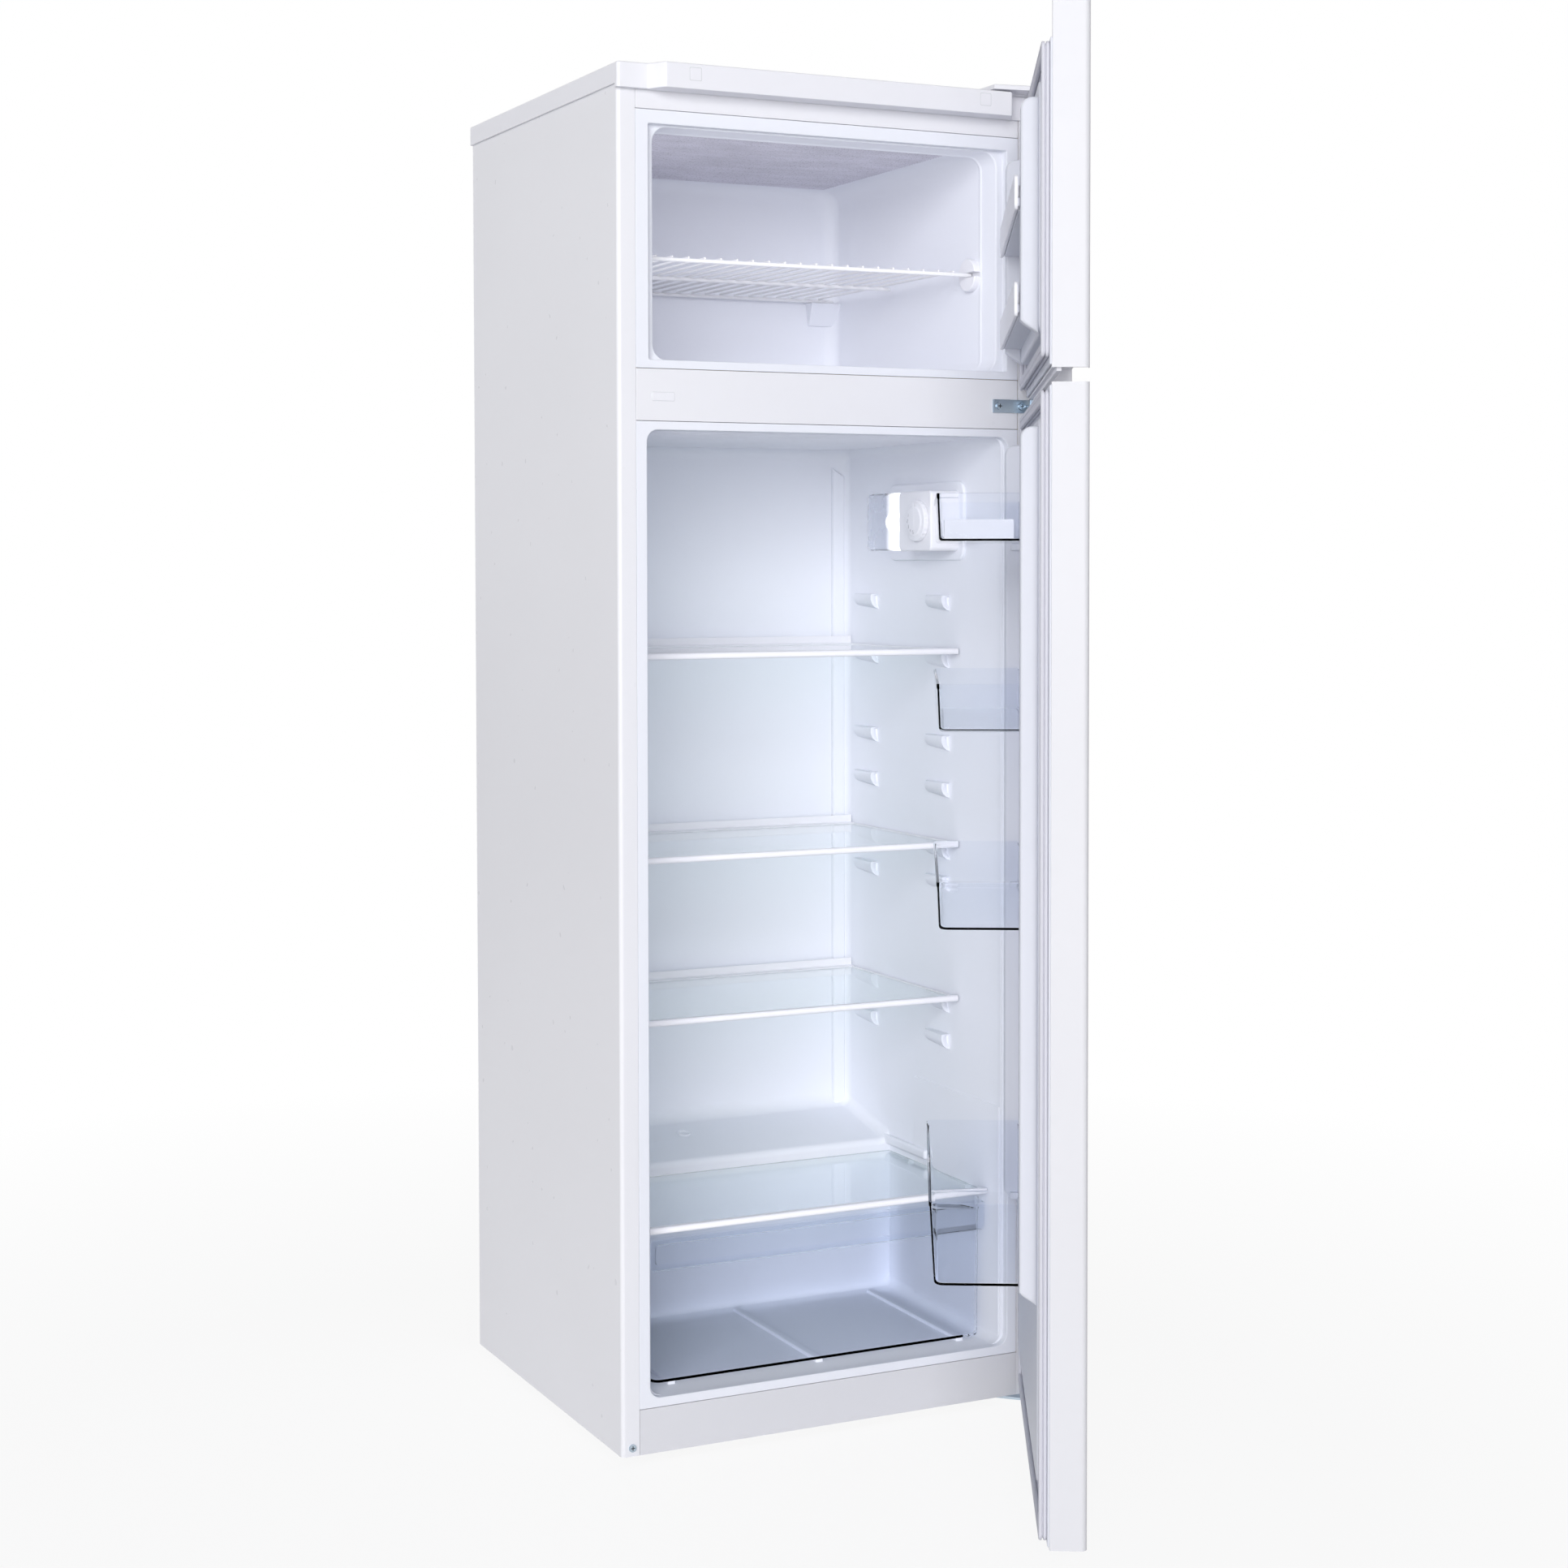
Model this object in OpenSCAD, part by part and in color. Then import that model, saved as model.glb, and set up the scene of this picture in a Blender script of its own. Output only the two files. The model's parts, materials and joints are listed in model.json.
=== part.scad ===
// Top freezer refrigerator, doors hung on the right and standing open.
// The model is laid out in the cabinet's own frame: x from the left side, y back from
// the front face, z up from the floor. in_row_frame() then moves the underside of the
// left front foot to the origin.

/* [Cabinet] */
// Width of the cabinet, side to side
cab_w = 550; // [450:1:680]
// Depth of the cabinet, front face to back
cab_d = 493; // [400:1:600]
// Clear height of the refrigerator compartment
fridge_h = 1120; // [920:1:1360]
// Clear height of the freezer compartment
freezer_h = 266; // [200:1:320]
// Height of the body's underside above the floor
foot_h = 8; // [6:0.5:10]
// Thickness of the steel sheet
sheet_t = 1; // [0.7:0.1:1.3]
// Width of the shell's front and back flanges
flange_w = 22; // [17:1:28]
// Radius of the shell's front corners
shell_r = 5; // [3:0.5:7]
// Width of the seams between the front plates
seam = 0.5; // [0.2:0.1:1]

/* [Front plates] */
// Height of the plinth
plinth_h = 53; // [42:1:66]
// Height of the middle rail between the compartments
mid_rail_h = 60; // [58:1:80]
// Height of the top rail under the worktop
top_rail_h = 26; // [20:1:34]
// Depth of the rails' flanges
rail_d = 16; // [12:1:18]
// Height of the liners' rims below and above an opening
rim_h = 10; // [8:1:14]
// Height of the freezer liner's rim over its rebate
top_rim_h = 16; // [12:1:20]

/* [Liners] */
// Thickness of the formed plastic liners
liner_t = 1.5; // [1:0.1:2]
// Wall between the cabinet's side and the refrigerator compartment
fridge_wall = 40; // [36:1:48]
// Wall between the cabinet's side and the freezer compartment
freezer_wall = 48; // [40:1:56]
// Insulation behind the refrigerator compartment
fridge_back = 68; // [56:1:80]
// Insulation behind the freezer compartment
freezer_back = 48; // [40:1:58]
// Corner radius of the refrigerator compartment
fridge_r = 14; // [10:1:20]
// Corner radius of the freezer compartment
freezer_r = 18; // [12:1:24]
// Depth of the step around each opening
rebate_d = 10; // [7:1:12]
// Width of the step at the freezer's sides
freezer_rebate = 9.5; // [7:0.5:12]
// Width of the step at the refrigerator's sides
fridge_rebate = 4; // [3:0.5:5]
// Height of the step over the freezer's opening
rebate_top = 2; // [1:0.5:16]
// Depth of the freezer's ceiling in front of its evaporator
ceiling_y = 47; // [40:1:60]
// Rise of the freezer's ceiling behind its front band
ceiling_step = 8; // [4:1:10]
// Height of the step over the compressor, above the compartment floor
hump_h = 198; // [180:1:230]
// Depth of the step over the compressor
hump_d = 125; // [105:1:150]
// Reach of the shelf supports from the wall
support_w = 12; // [10:1:15]
// Height of a shelf support
support_h = 20; // [16:1:24]

/* [Worktop] */
// Height of the worktop's skirt
skirt_h = 24; // [20:1:29]
// How much lower the worktop's front trim reaches
trim_drop = 5; // [4:0.5:6]
// Overhang of the worktop
overhang = 3; // [2:0.5:4]
// Wall of the worktop
worktop_t = 3; // [2.4:0.1:3.6]
// Reach of the trim's bulge in front of the cabinet's face
bulge_y = 29; // [24:1:30]
// Reach of the trim's corner at the doors' free side
corner_y = 9; // [7:0.5:9.5]
// Reach of the trim's corner at the hinge side
hinge_corner_y = 4; // [3:0.5:5]

/* [Doors] */
// Angle at which both doors stand open
door_open = 61.3; // [40:0.1:80]
// Thickness of a door's skin and core
door_t = 38.7; // [34:0.1:44]
// Gap between the cabinet's face and a door's skin
door_gap = 11; // [10:0.5:13]
// Corner radius of a door's outer edges
door_r = 6; // [4:0.5:8]
// Gap between the two doors
split_gap = 14.6; // [12:0.2:18]
// Clearance under the lower door, above the body's underside
door_low = 14; // [12:1:18]
// How far the upper door stands over the worktop
door_over = 2; // [1:0.2:2.4]
// Height of the doors' end caps
cap_h = 24; // [20:1:28]
// Width of the gasket
gasket_w = 14; // [11:0.5:16]
// Distance from a door's edge to its gasket
gasket_in = 8; // [6:0.5:9]
// Reach of the liners' side ribs from the cabinet's face
dike_y = 18.8; // [15:0.2:22]
// Width of the side ribs
dike_w = 23; // [19:1:27]
// Running clearance between a door's rib and the opening
dike_gap = 3; // [2.5:0.5:4]
// Length of the finger grip in the door ends
grip_l = 290; // [240:5:340]
// Height of the finger grip
grip_h = 20; // [17:1:22]
// Depth of the finger grip
grip_d = 28; // [24:1:32]

/* [Hinges] */
// Distance of the hinge axis from the cabinet's side
axis_in = 9; // [8:0.5:11]
// Distance of the hinge axis in front of the cabinet's face
axis_out = 20; // [18:0.5:23]
// Radius of the hinge pins
pin_r = 4; // [3:0.25:5]
// Radial running clearance of a turning fit
run_gap = 0.05; // [0.02:0.01:0.09]
// Thickness of the hinge plates
plate_t = 3; // [2.4:0.1:3.6]
// Length of a hinge pin in its door
pin_l = 18; // [14:1:20]

/* [Shelves] */
// Thickness of the shelf glass
glass_t = 4; // [3.2:0.1:5]
// Distance of the shelves' fronts behind the cabinet's face
shelf_y = 108; // [106:1:130]
// Space behind the shelves
shelf_back = 20; // [15:1:25]
// Height of the shelves' front trim
trim_h = 8; // [6.5:0.5:10]
// Depth of the shelves' front trim
trim_d = 14; // [11:1:17]
// Height of the crisper drawer
drawer_h = 172; // [150:1:176]
// Distance of the drawer's front behind the cabinet's face
drawer_y = 35; // [30:1:42]
// Wall of the crisper drawer
drawer_t = 2.5; // [2:0.1:3]
// Distance of the wire shelf's front bar behind the cabinet's face
wire_y = 66; // [55:1:80]
// Spacing of the wires in the wire shelf
wire_pitch = 21; // [17:0.5:26]

/* [Door balconies] */
// Height of a door balcony
balcony_h = 50; // [42:1:60]
// Height of the bottle shelf
bottle_h = 88; // [74:1:105]
// Reach of a balcony behind the cabinet's face
balcony_y = 105; // [86:1:105]
// Reach of the bottle shelf behind the cabinet's face
bottle_y = 113; // [94:1:130]
// Wall of a balcony
balcony_t = 2.2; // [1.8:0.1:2.8]

/* [Machine compartment] */
// Depth of the machine compartment
machine_d = 163; // [150:1:180]
// Clear height of the machine compartment above the body's underside
machine_h = 236; // [226:1:240]
// Diameter of the compressor
compressor_d = 132; // [110:1:138]
// Height of the compressor's shell
compressor_h = 132; // [110:1:140]
// Diameter of the rear rollers
roller_d = 24; // [20:1:28]
// Spacing of the condenser's rows
condenser_pitch = 56; // [46:1:68]

/* [Hidden] */
$fn = 64;
snug = 0.3;              // clearance of a piece that lies on its seat

// heights of the front, from the floor up
z_body = foot_h;
z_plinth = z_body + plinth_h;
z_fr0 = z_plinth + rim_h + 1;
z_fr1 = z_fr0 + fridge_h;
z_mid0 = z_fr1 + rim_h;
z_mid1 = z_mid0 + mid_rail_h;
z_fz0 = z_mid1 + rim_h;
z_fz1 = z_fz0 + freezer_h;
z_evap = z_fz1 + ceiling_step;          // freezer's ceiling below the evaporator
z_rim1 = z_fz1 + rebate_top + top_rim_h;
z_top = z_rim1 + top_rail_h;
z_work = z_top + skirt_h;

// compartments
fr_x0 = fridge_wall;
fr_x1 = cab_w - fridge_wall;
fr_y1 = cab_d - fridge_back;
fz_x0 = freezer_wall;
fz_x1 = cab_w - freezer_wall;
fz_y1 = cab_d - freezer_back;
hump_z = z_fr0 + hump_h;
hump_y = fr_y1 - hump_d;
open_x0 = fr_x0 - fridge_rebate;
open_x1 = fr_x1 + fridge_rebate;

// crisper and shelves
floor_rib = 4;
z_drawer = z_fr0 + floor_rib + snug;
z_cover = z_drawer + drawer_h + 5;
z_cover_top = z_cover + trim_h;
z_lamp0 = z_fr1 - 150;
shelf_share = [0.84927, 0.536, 0.285];               // seats of the shelves, top down
spare_share = [0.943, 0.7145, 0.6375, 0.4835, 0.225]; // seats left free
function seats(shares) =
    [for (share = shares) z_cover_top + share * (z_lamp0 - z_cover_top)];
shelf_seats = seats(shelf_share);
shelf_gap = 3.5;
shelf_x0 = fr_x0 + shelf_gap;
shelf_x1 = fr_x1 - shelf_gap;
shelf_y1 = fr_y1 - shelf_back;
rear_trim_h = 16;
support_front = [shelf_y + 27, shelf_y + 77];
support_rear = [shelf_y1 - 75, shelf_y1 - 20];
drawer_x0 = fr_x0 + support_w - 2;
drawer_x1 = fr_x1 - support_w + 2;
drawer_y1 = hump_y - 15;
cover_y1 = hump_y - 10;

// hinge axis and doors, in the closed position
axis_x = cab_w - axis_in;
axis_y = -axis_out;
skin_y = -door_gap - door_t;      // outer face of a door
back_y = -door_gap;               // inner edge of a door's skin
gasket_y = -0.3;                  // the gasket's lip
panel_y = 0.4;                    // flat of a door liner
z_split = (z_mid0 + z_mid1) / 2 - 2;
low_z0 = z_body + door_low;
low_z1 = z_split - split_gap / 2;
up_z0 = z_split + split_gap / 2;
up_z1 = z_work + door_over;
up_core1 = z_work - skirt_h - trim_drop - 7;   // top of the upper door's core
dike_x0 = fr_x0 + dike_gap;
dike_x1 = fr_x1 - dike_gap;
fz_dike_x0 = fz_x0 + dike_gap;
fz_dike_x1 = fz_x1 - dike_gap;
low_dike_z0 = z_cover_top + 12;
low_dike_z1 = z_fr1 - 12;
up_dike_z0 = z_fz0 + 6;
up_dike_z1 = z_fz1 - 19;
low_gasket = [low_z0 + 6, low_z1 - 7.5];
up_gasket = [up_z0 + 11, up_core1 - 2];

// balconies of the lower door
balcony_x0 = dike_x0 + dike_w + snug;
balcony_x1 = dike_x1 - dike_w - snug;
balcony_share = [0.87, 0.65, 0.42];
function balcony_z(i) = low_dike_z0 + balcony_share[i] * (low_dike_z1 - low_dike_z0);
bottle_z = low_dike_z0 + 4;
peg_w = 6;
peg_h = 8;

// thermostat and lamp on the right wall
pad_t = 4;
house_x0 = fr_x1 - 44;
house_x1 = fr_x1 - pad_t;
house_y0 = balcony_y + 3;
house_y1 = house_y0 + 84;
lamp_y1 = house_y1 + 92;
house_z0 = z_fr1 - 138;
house_z1 = z_fr1 - 62;
house_t = 2;
knob_y = (house_y0 + house_y1) / 2 - 12;
knob_z = (house_z0 + house_z1) / 2;
knob_r = 26;
shaft_r = 3;
button_x = fr_x1 - dike_gap - 9;
button_z = house_z0 + 26;
button_r = 4;
nose_y0 = dike_y + 27;

// machine compartment
machine_y = cab_d - machine_d;
machine_z = z_body + machine_h;
rail_z = z_body + 22;             // top of the compressor rail
rail_t = 2;
rail_y0 = machine_y + 14;
rail_y1 = cab_d - 10;
comp_x = cab_w * 0.34;
comp_y = (rail_y0 + rail_y1) / 2;
mount_h = 12;
foot_z = rail_z + mount_h;        // underside of the compressor's feet
foot_plate_t = 2.5;
mount_dx = 75;
mount_dy = 46;
stud_r = 3;
comp_z0 = foot_z + 4;
comp_z1 = comp_z0 + compressor_h;
tray_z = comp_z1 + snug;
tray_w = 150;
tray_d = 112;
tray_h = 26;
drain_x = comp_x + 58;
drain_y = comp_y - 34;
drain_r = 7;
roller_r = roller_d / 2;
roller_w = 14;
roller_x = 34;
roller_y = rail_y1 - 30;
axle_r = 3;
ear_t = 2;
foot_x = 72;
foot_y = 40;
foot_screw_r = 5;
box_x0 = comp_x + compressor_d / 2 + 4;
box_x1 = box_x0 + 46;
gland_r = 4.2;
gland_l = 16;
pipe_r = 2.6;
riser = [fr_x1 + 18, fr_y1 + 12];       // suction pipe's way up through the foam

// condenser on the back
tube_r = 2.5;
cond_gap = 12;
cond_y = cab_d + cond_gap;
cond_x0 = 60;
cond_x1 = cab_w - 60;
cond_z0 = machine_z + 70;
cond_n = floor((z_top - 60 - cond_z0) / condenser_pitch / 2) * 2;
cond_z1 = cond_z0 + cond_n * condenser_pitch;
wire_t = 1.6;
wire_n = 17;

white = "#f2f2f6";
steel = "#9aa3ad";
zinc = "#8fa3b5";
clear = "#dfe6f2";

// ---- frames and shapes ----

module in_row_frame() {
    translate([-foot_x, -foot_y, 0]) children();
}

// a door is laid out closed and swung open about the hinge axis
module on_door() {
    translate([axis_x, axis_y, 0]) rotate([0, 0, door_open])
        translate([-axis_x, -axis_y, 0]) children();
}

module block(low, high) {
    translate(low) cube(high - low);
}

// extrudes an outline in x and z from y0 to y1
module along_y(y0, y1) {
    translate([0, y1, 0]) rotate([90, 0, 0]) linear_extrude(y1 - y0) children();
}

// extrudes an outline in y and z from x0 to x1
module along_x(x0, x1) {
    translate([x0, 0, 0]) rotate([90, 0, 90]) linear_extrude(x1 - x0) children();
}

module along_z(z0, z1) {
    translate([0, 0, z0]) linear_extrude(z1 - z0) children();
}

module rod_y(x, z, r, y0, y1) {
    translate([x, y1, z]) rotate([90, 0, 0]) cylinder(r = r, h = y1 - y0);
}

module rod_x(y, z, r, x0, x1) {
    translate([x0, y, z]) rotate([0, 90, 0]) cylinder(r = r, h = x1 - x0);
}

module rod_z(x, y, r, z0, z1) {
    translate([x, y, z0]) cylinder(r = r, h = z1 - z0);
}

function arc(c, r, a0, a1, n = 6) =
    [for (i = [0:n]) c + r * [cos(a0 + (a1 - a0) * i / n), sin(a0 + (a1 - a0) * i / n)]];

// rounded rectangle from one corner to the other
function round_rect(low, high, r) = concat(
    arc([high.x - r, low.y + r], r, -90, 0), arc([high.x - r, high.y - r], r, 0, 90),
    arc([low.x + r, high.y - r], r, 90, 180), arc([low.x + r, low.y + r], r, 180, 270));

module round_box_y(low, high, r) {
    along_y(low.y, high.y) polygon(round_rect([low.x, low.z], [high.x, high.z], r));
}

// a pipe through a list of points, with ball corners
module pipe(points, r) {
    for (i = [0:len(points) - 2]) {
        step = points[i + 1] - points[i];
        length = norm(step);
        translate(points[i])
            rotate([0, acos(step.z / length), atan2(step.y, step.x)])
                cylinder(r = r, h = length);
    }
    for (i = [1:len(points) - 2])
        translate(points[i]) sphere(r = r + 0.2);
}

module mirror_x() {
    children();
    translate([cab_w, 0, 0]) mirror([1, 0, 0]) children();
}

// ---- body ----

// plan of the shell's left side with its front and back flanges
function side_plan() = concat(
    [[flange_w, 0]], arc([shell_r, shell_r], shell_r, 270, 180), [[0, cab_d]],
    [[flange_w, cab_d], [flange_w, cab_d - sheet_t], [sheet_t, cab_d - sheet_t]],
    arc([shell_r, shell_r], shell_r - sheet_t, 180, 270), [[flange_w, sheet_t]]);

module outer_shell() {
    color(white) in_row_frame() difference() {
        union() {
            mirror_x() {
                along_z(z_body, z_top) polygon(side_plan());
                block([sheet_t / 2, shell_r, z_body],
                      [flange_w, cab_d - sheet_t / 2, z_body + sheet_t]);
            }
            block([sheet_t / 2, sheet_t / 2, z_top - sheet_t],
                  [cab_w - sheet_t / 2, cab_d - sheet_t / 2, z_top]);
        }
        rod_y(hinge_bolts[1], z_split, screw_r, -1, sheet_t + 1);
    }
}

module back_panel() {
    color("#d9dbe0") in_row_frame()
        block([2 * sheet_t, cab_d - 2 * sheet_t, machine_z + sheet_t],
              [cab_w - 2 * sheet_t, cab_d - sheet_t, z_top - sheet_t]);
}

module base_pan() {
    z0 = z_body + sheet_t;
    x0 = sheet_t;
    x1 = cab_w - sheet_t;
    color(steel) in_row_frame() difference() {
        union() {
            block([x0, rail_d + 2, z0], [x1, machine_y, z0 + sheet_t]);
            block([x0, machine_y - sheet_t, z0], [x1, machine_y, machine_z + sheet_t]);
            block([x0, machine_y - sheet_t, machine_z],
                  [x1, cab_d - sheet_t, machine_z + sheet_t]);
            mirror_x() rod_z(foot_x, foot_y, foot_screw_r + 5, z0, z0 + 22);
        }
        mirror_x() rod_z(foot_x, foot_y, foot_screw_r + run_gap, z0 - 1, z0 + 23);
        rod_z(drain_x, drain_y, drain_r + 1, machine_z - 1, machine_z + 2 * sheet_t);
        rod_z(riser[0], riser[1], pipe_r + 1.4, machine_z - 1, machine_z + 2 * sheet_t);
    }
}

// bracket ears and axle of one rear roller
module roller_fork() {
    for (side = [-1, 1])
        translate([roller_x + side * (roller_w / 2 + 1 + ear_t / 2) - ear_t / 2, 0, 0])
            block([0, roller_y - 9, roller_r - 7], [ear_t, roller_y + 9, rail_z - rail_t / 2]);
    rod_x(roller_y, roller_r, axle_r, roller_x - roller_w / 2 - 1 - ear_t,
          roller_x + roller_w / 2 + 1 + ear_t);
}

module compressor_rail() {
    drop = 14;
    color(steel) in_row_frame() difference() {
        union() {
            block([sheet_t, rail_y0, rail_z - rail_t],
                  [cab_w - sheet_t, rail_y1, rail_z]);
            block([sheet_t, rail_y0, z_body + sheet_t],
                  [cab_w - sheet_t, rail_y0 + rail_t, rail_z]);
            block([flange_w + 30, rail_y1 - rail_t, rail_z - drop],
                  [cab_w - flange_w - 30, rail_y1, rail_z]);
            mirror_x() roller_fork();
        }
        for (sx = [-1, 1], sy = [-1, 1])
            rod_z(comp_x + sx * mount_dx, comp_y + sy * mount_dy, stud_r,
                  rail_z - rail_t - 1, rail_z + 1);
    }
}

module rear_rollers() {
    color("#e4e4e8") in_row_frame() mirror_x() difference() {
        rod_x(roller_y, roller_r, roller_r, roller_x - roller_w / 2,
              roller_x + roller_w / 2);
        rod_x(roller_y, roller_r, axle_r + run_gap, roller_x - roller_w,
              roller_x + roller_w);
    }
}

module front_foot() {
    pad_h = foot_h - 1.5;
    translate([foot_x, foot_y, 0]) {
        cylinder(r = 15, h = pad_h);
        translate([0, 0, pad_h - 1]) cylinder(r = foot_screw_r, h = 30);
    }
}

module front_foot_left() {
    color("#3a3a3e") in_row_frame() front_foot();
}

module front_foot_right() {
    color("#3a3a3e") in_row_frame()
        translate([cab_w - 2 * foot_x, 0, 0]) front_foot();
}

// space taken out of the foam for a compartment's liner
module liner_space(x0, x1, y1, z0, z1) {
    block([x0 - liner_t, -1, z0 - liner_t], [x1 + liner_t, y1 + liner_t, z1 + liner_t]);
}

evap_gap = 10;            // room for the evaporators behind the liners

module cabinet_foam() {
    x0 = sheet_t;
    x1 = cab_w - sheet_t;
    drain_room = drain_r + 1;
    color("#e8d9a0") in_row_frame() difference() {
        block([x0, rail_d + 2, z_body + 2 * sheet_t],
              [x1, cab_d - 2 * sheet_t, z_top - sheet_t]);
        liner_space(fr_x0, fr_x1, fr_y1, hump_z, z_fr1);
        liner_space(fr_x0, fr_x1, hump_y, z_fr0, z_fr1);
        liner_space(fz_x0, fz_x1, fz_y1, z_fz0, z_fz1);
        block([0, machine_y - sheet_t, 0], [cab_w, cab_d, machine_z + sheet_t]);
        block([fz_x0, 30, z_fz1], [fz_x1, fz_y1 + liner_t, z_evap + liner_t + evap_gap]);
        block([fr_x0 + 20, fr_y1, z_fr1 - 560], [fr_x1 - 20, fr_y1 + liner_t + evap_gap,
              z_fr1 - 40]);
        block([fr_x1, house_y0 - 10, house_z0 - 10],
              [fr_x1 + 12, lamp_y1 + 10, house_z1 + 10]);
        rod_z(drain_x, drain_y, drain_room, machine_z, hump_z);
        mirror_x() rod_z(foot_x, foot_y, foot_screw_r + 5, z_body, z_body + 40);
        block([fr_x1 + 12, fr_y1 + 6, machine_z], [fr_x1 + 24, fr_y1 + 18, z_evap + 12]);
        block([fz_x1 - 40, fz_y1 - 30, z_evap + 2], [fr_x1 + 24, fr_y1 + 18, z_evap + 12]);
    }
}

// one moulded shelf support on the left wall of a compartment, flat on top
module wall_support(wall_x, y0, y1, seat, w, h) {
    along_y(y0, y1) polygon([
        [wall_x - liner_t / 2, seat], [wall_x + w, seat], [wall_x + w, seat - h * 0.3],
        [wall_x + w * 0.35, seat - h * 0.85], [wall_x - liner_t / 2, seat - h]]);
}

module fridge_supports() {
    for (seat = concat(shelf_seats, seats(spare_share)), span = [support_front, support_rear])
        wall_support(fr_x0, span[0], span[1], seat, support_w, support_h);
    for (span = [[drawer_y + 45, drawer_y + 85], [cover_y1 - 60, cover_y1 - 12]])
        wall_support(fr_x0, span[0], span[1], z_cover - snug, support_w - 2.6, 8);
}

module fridge_hollow(grow, front_y) {
    g = grow;
    round_box_y([fr_x0 - g, front_y, z_fr0 - g], [fr_x1 + g, hump_y + g, z_fr1 + g],
                fridge_r + g);
    round_box_y([fr_x0 - g, front_y, hump_z - g], [fr_x1 + g, fr_y1 + g, z_fr1 + g],
                fridge_r + g);
    round_box_y([open_x0 - g, front_y, z_fr0 - g], [open_x1 + g, rebate_d + g, z_fr1 + g],
                fridge_r + g);
}

module fridge_liner() {
    color("#f4f4fa") in_row_frame() {
        difference() {
            union() {
                block([flange_w + seam, 0, z_plinth + seam / 2],
                      [cab_w - flange_w - seam, liner_t, z_mid0 - seam / 2]);
                fridge_hollow(liner_t, 0);
            }
            fridge_hollow(0, -1);
            rod_z(drain_x, drain_y, drain_r - 2, hump_z - 5, hump_z + 5);
        }
        mirror_x() fridge_supports();
        for (x = [drawer_x0 + 30, (drawer_x0 + drawer_x1) / 2, drawer_x1 - 30])
            block([x - 5, drawer_y + 5, z_fr0 - liner_t / 2],
                  [x + 5, drawer_y1 - 5, z_fr0 + floor_rib]);
        round_pad();
    }
}

// raised pad of the right wall that carries the thermostat housing
module round_pad() {
    low = [house_y0 - 12, house_z0 - 12];
    high = [lamp_y1 + 12, house_z1 + 12];
    along_x(fr_x1 - pad_t, fr_x1 + liner_t / 2) polygon(round_rect(low, high, 16));
}

wire_z = z_fz0 + freezer_h * 0.462;      // axis of the wire shelf's bars
bar_r = 2.5;
thin_r = 1.5;
bar_y1 = fz_y1 - 8;

// round socket on a freezer side wall, slotted to the front for the front bar's end
module bar_socket() {
    r = 20;
    reach = 9;
    difference() {
        translate([fz_x0 - liner_t / 2, wire_y, wire_z]) rotate([0, 90, 0])
            cylinder(r = r, h = reach + liner_t / 2);
        rod_x(wire_y, wire_z, bar_r + snug, fz_x0 + 1, fz_x0 + reach + 1);
        block([fz_x0 + 1, wire_y - r - 1, wire_z - bar_r - snug],
              [fz_x0 + reach + 1, wire_y, wire_z + bar_r + snug]);
    }
}

module freezer_hollow(grow, front_y) {
    g = grow;
    round_box_y([fz_x0 - g, front_y, z_fz0 - g], [fz_x1 + g, fz_y1 + g, z_fz1 + g],
                freezer_r + g);
    round_box_y([fz_x0 - freezer_rebate - g, front_y, z_fz0 - g],
                [fz_x1 + freezer_rebate + g, rebate_d + g, z_fz1 + rebate_top + g], 6 + g);
    block([fz_x0 + freezer_r - g, ceiling_y - g, z_fz1 - 1],
          [fz_x1 - freezer_r + g, fz_y1 + g, z_evap + g]);
}

module freezer_liner() {
    ledge = 20;
    color("#f0f1f7") in_row_frame() {
        difference() {
            union() {
                block([flange_w + seam, 0, z_mid1 + seam / 2],
                      [cab_w - flange_w - seam, liner_t, z_rim1 - seam / 2]);
                freezer_hollow(liner_t, 0);
            }
            freezer_hollow(0, -1);
        }
        mirror_x() {
            bar_socket();
            translate([0, fz_y1 - ledge, 0])
                block([fz_x0 - liner_t / 2, 0, wire_z - bar_r - snug - 22],
                      [fz_x0 + 44, ledge + liner_t / 2, wire_z - bar_r - snug]);
        }
    }
}

module rail(z0, z1) {
    x0 = flange_w + seam;
    x1 = cab_w - flange_w - seam;
    block([x0, 0, z0 + seam / 2], [x1, sheet_t, z1 - seam / 2]);
    block([x0, 0, z0 + seam / 2], [x1, rail_d, z0 + seam / 2 + sheet_t]);
    block([x0, 0, z1 - seam / 2 - sheet_t], [x1, rail_d, z1 - seam / 2]);
}

module cross_rails() {
    color(white) in_row_frame() difference() {
        union() {
            rail(z_mid0, z_mid1);
            rail(z_rim1, z_top - sheet_t);
        }
        rod_y(hinge_bolts[0], z_split, screw_r, -1, sheet_t + 1);
    }
}

screw_r = 2.4;
hinge_bolts = [axis_x - 41, cab_w - flange_w + screw_r + 1];

module plinth() {
    color(white) in_row_frame() {
        block([flange_w + seam, 0, z_body], [cab_w - flange_w - seam, 1.5 * sheet_t,
              z_plinth - seam / 2]);
        block([flange_w + seam, 0, z_plinth - seam / 2 - 1.5 * sheet_t],
              [cab_w - flange_w - seam, rail_d, z_plinth - seam / 2]);
    }
}

// ---- worktop and its hinge corner ----

// the trim's front edge runs back in an S at both ends
function s_curve(x0, y0, x1, y1, n = 10) =
    [for (i = [0:n]) [x0 + (x1 - x0) * i / n, y0 + (y1 - y0) * (1 - cos(180 * i / n)) / 2]];

front_edge = concat(
    arc([4 - overhang, 4 - corner_y], 4, 180, 270, 4),
    s_curve(33, -corner_y, 50, -bulge_y),
    s_curve(cab_w - 50, -bulge_y, cab_w - 33, -hinge_corner_y),
    arc([cab_w + overhang - 2, 2 - hinge_corner_y], 2, 270, 360, 4));

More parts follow.
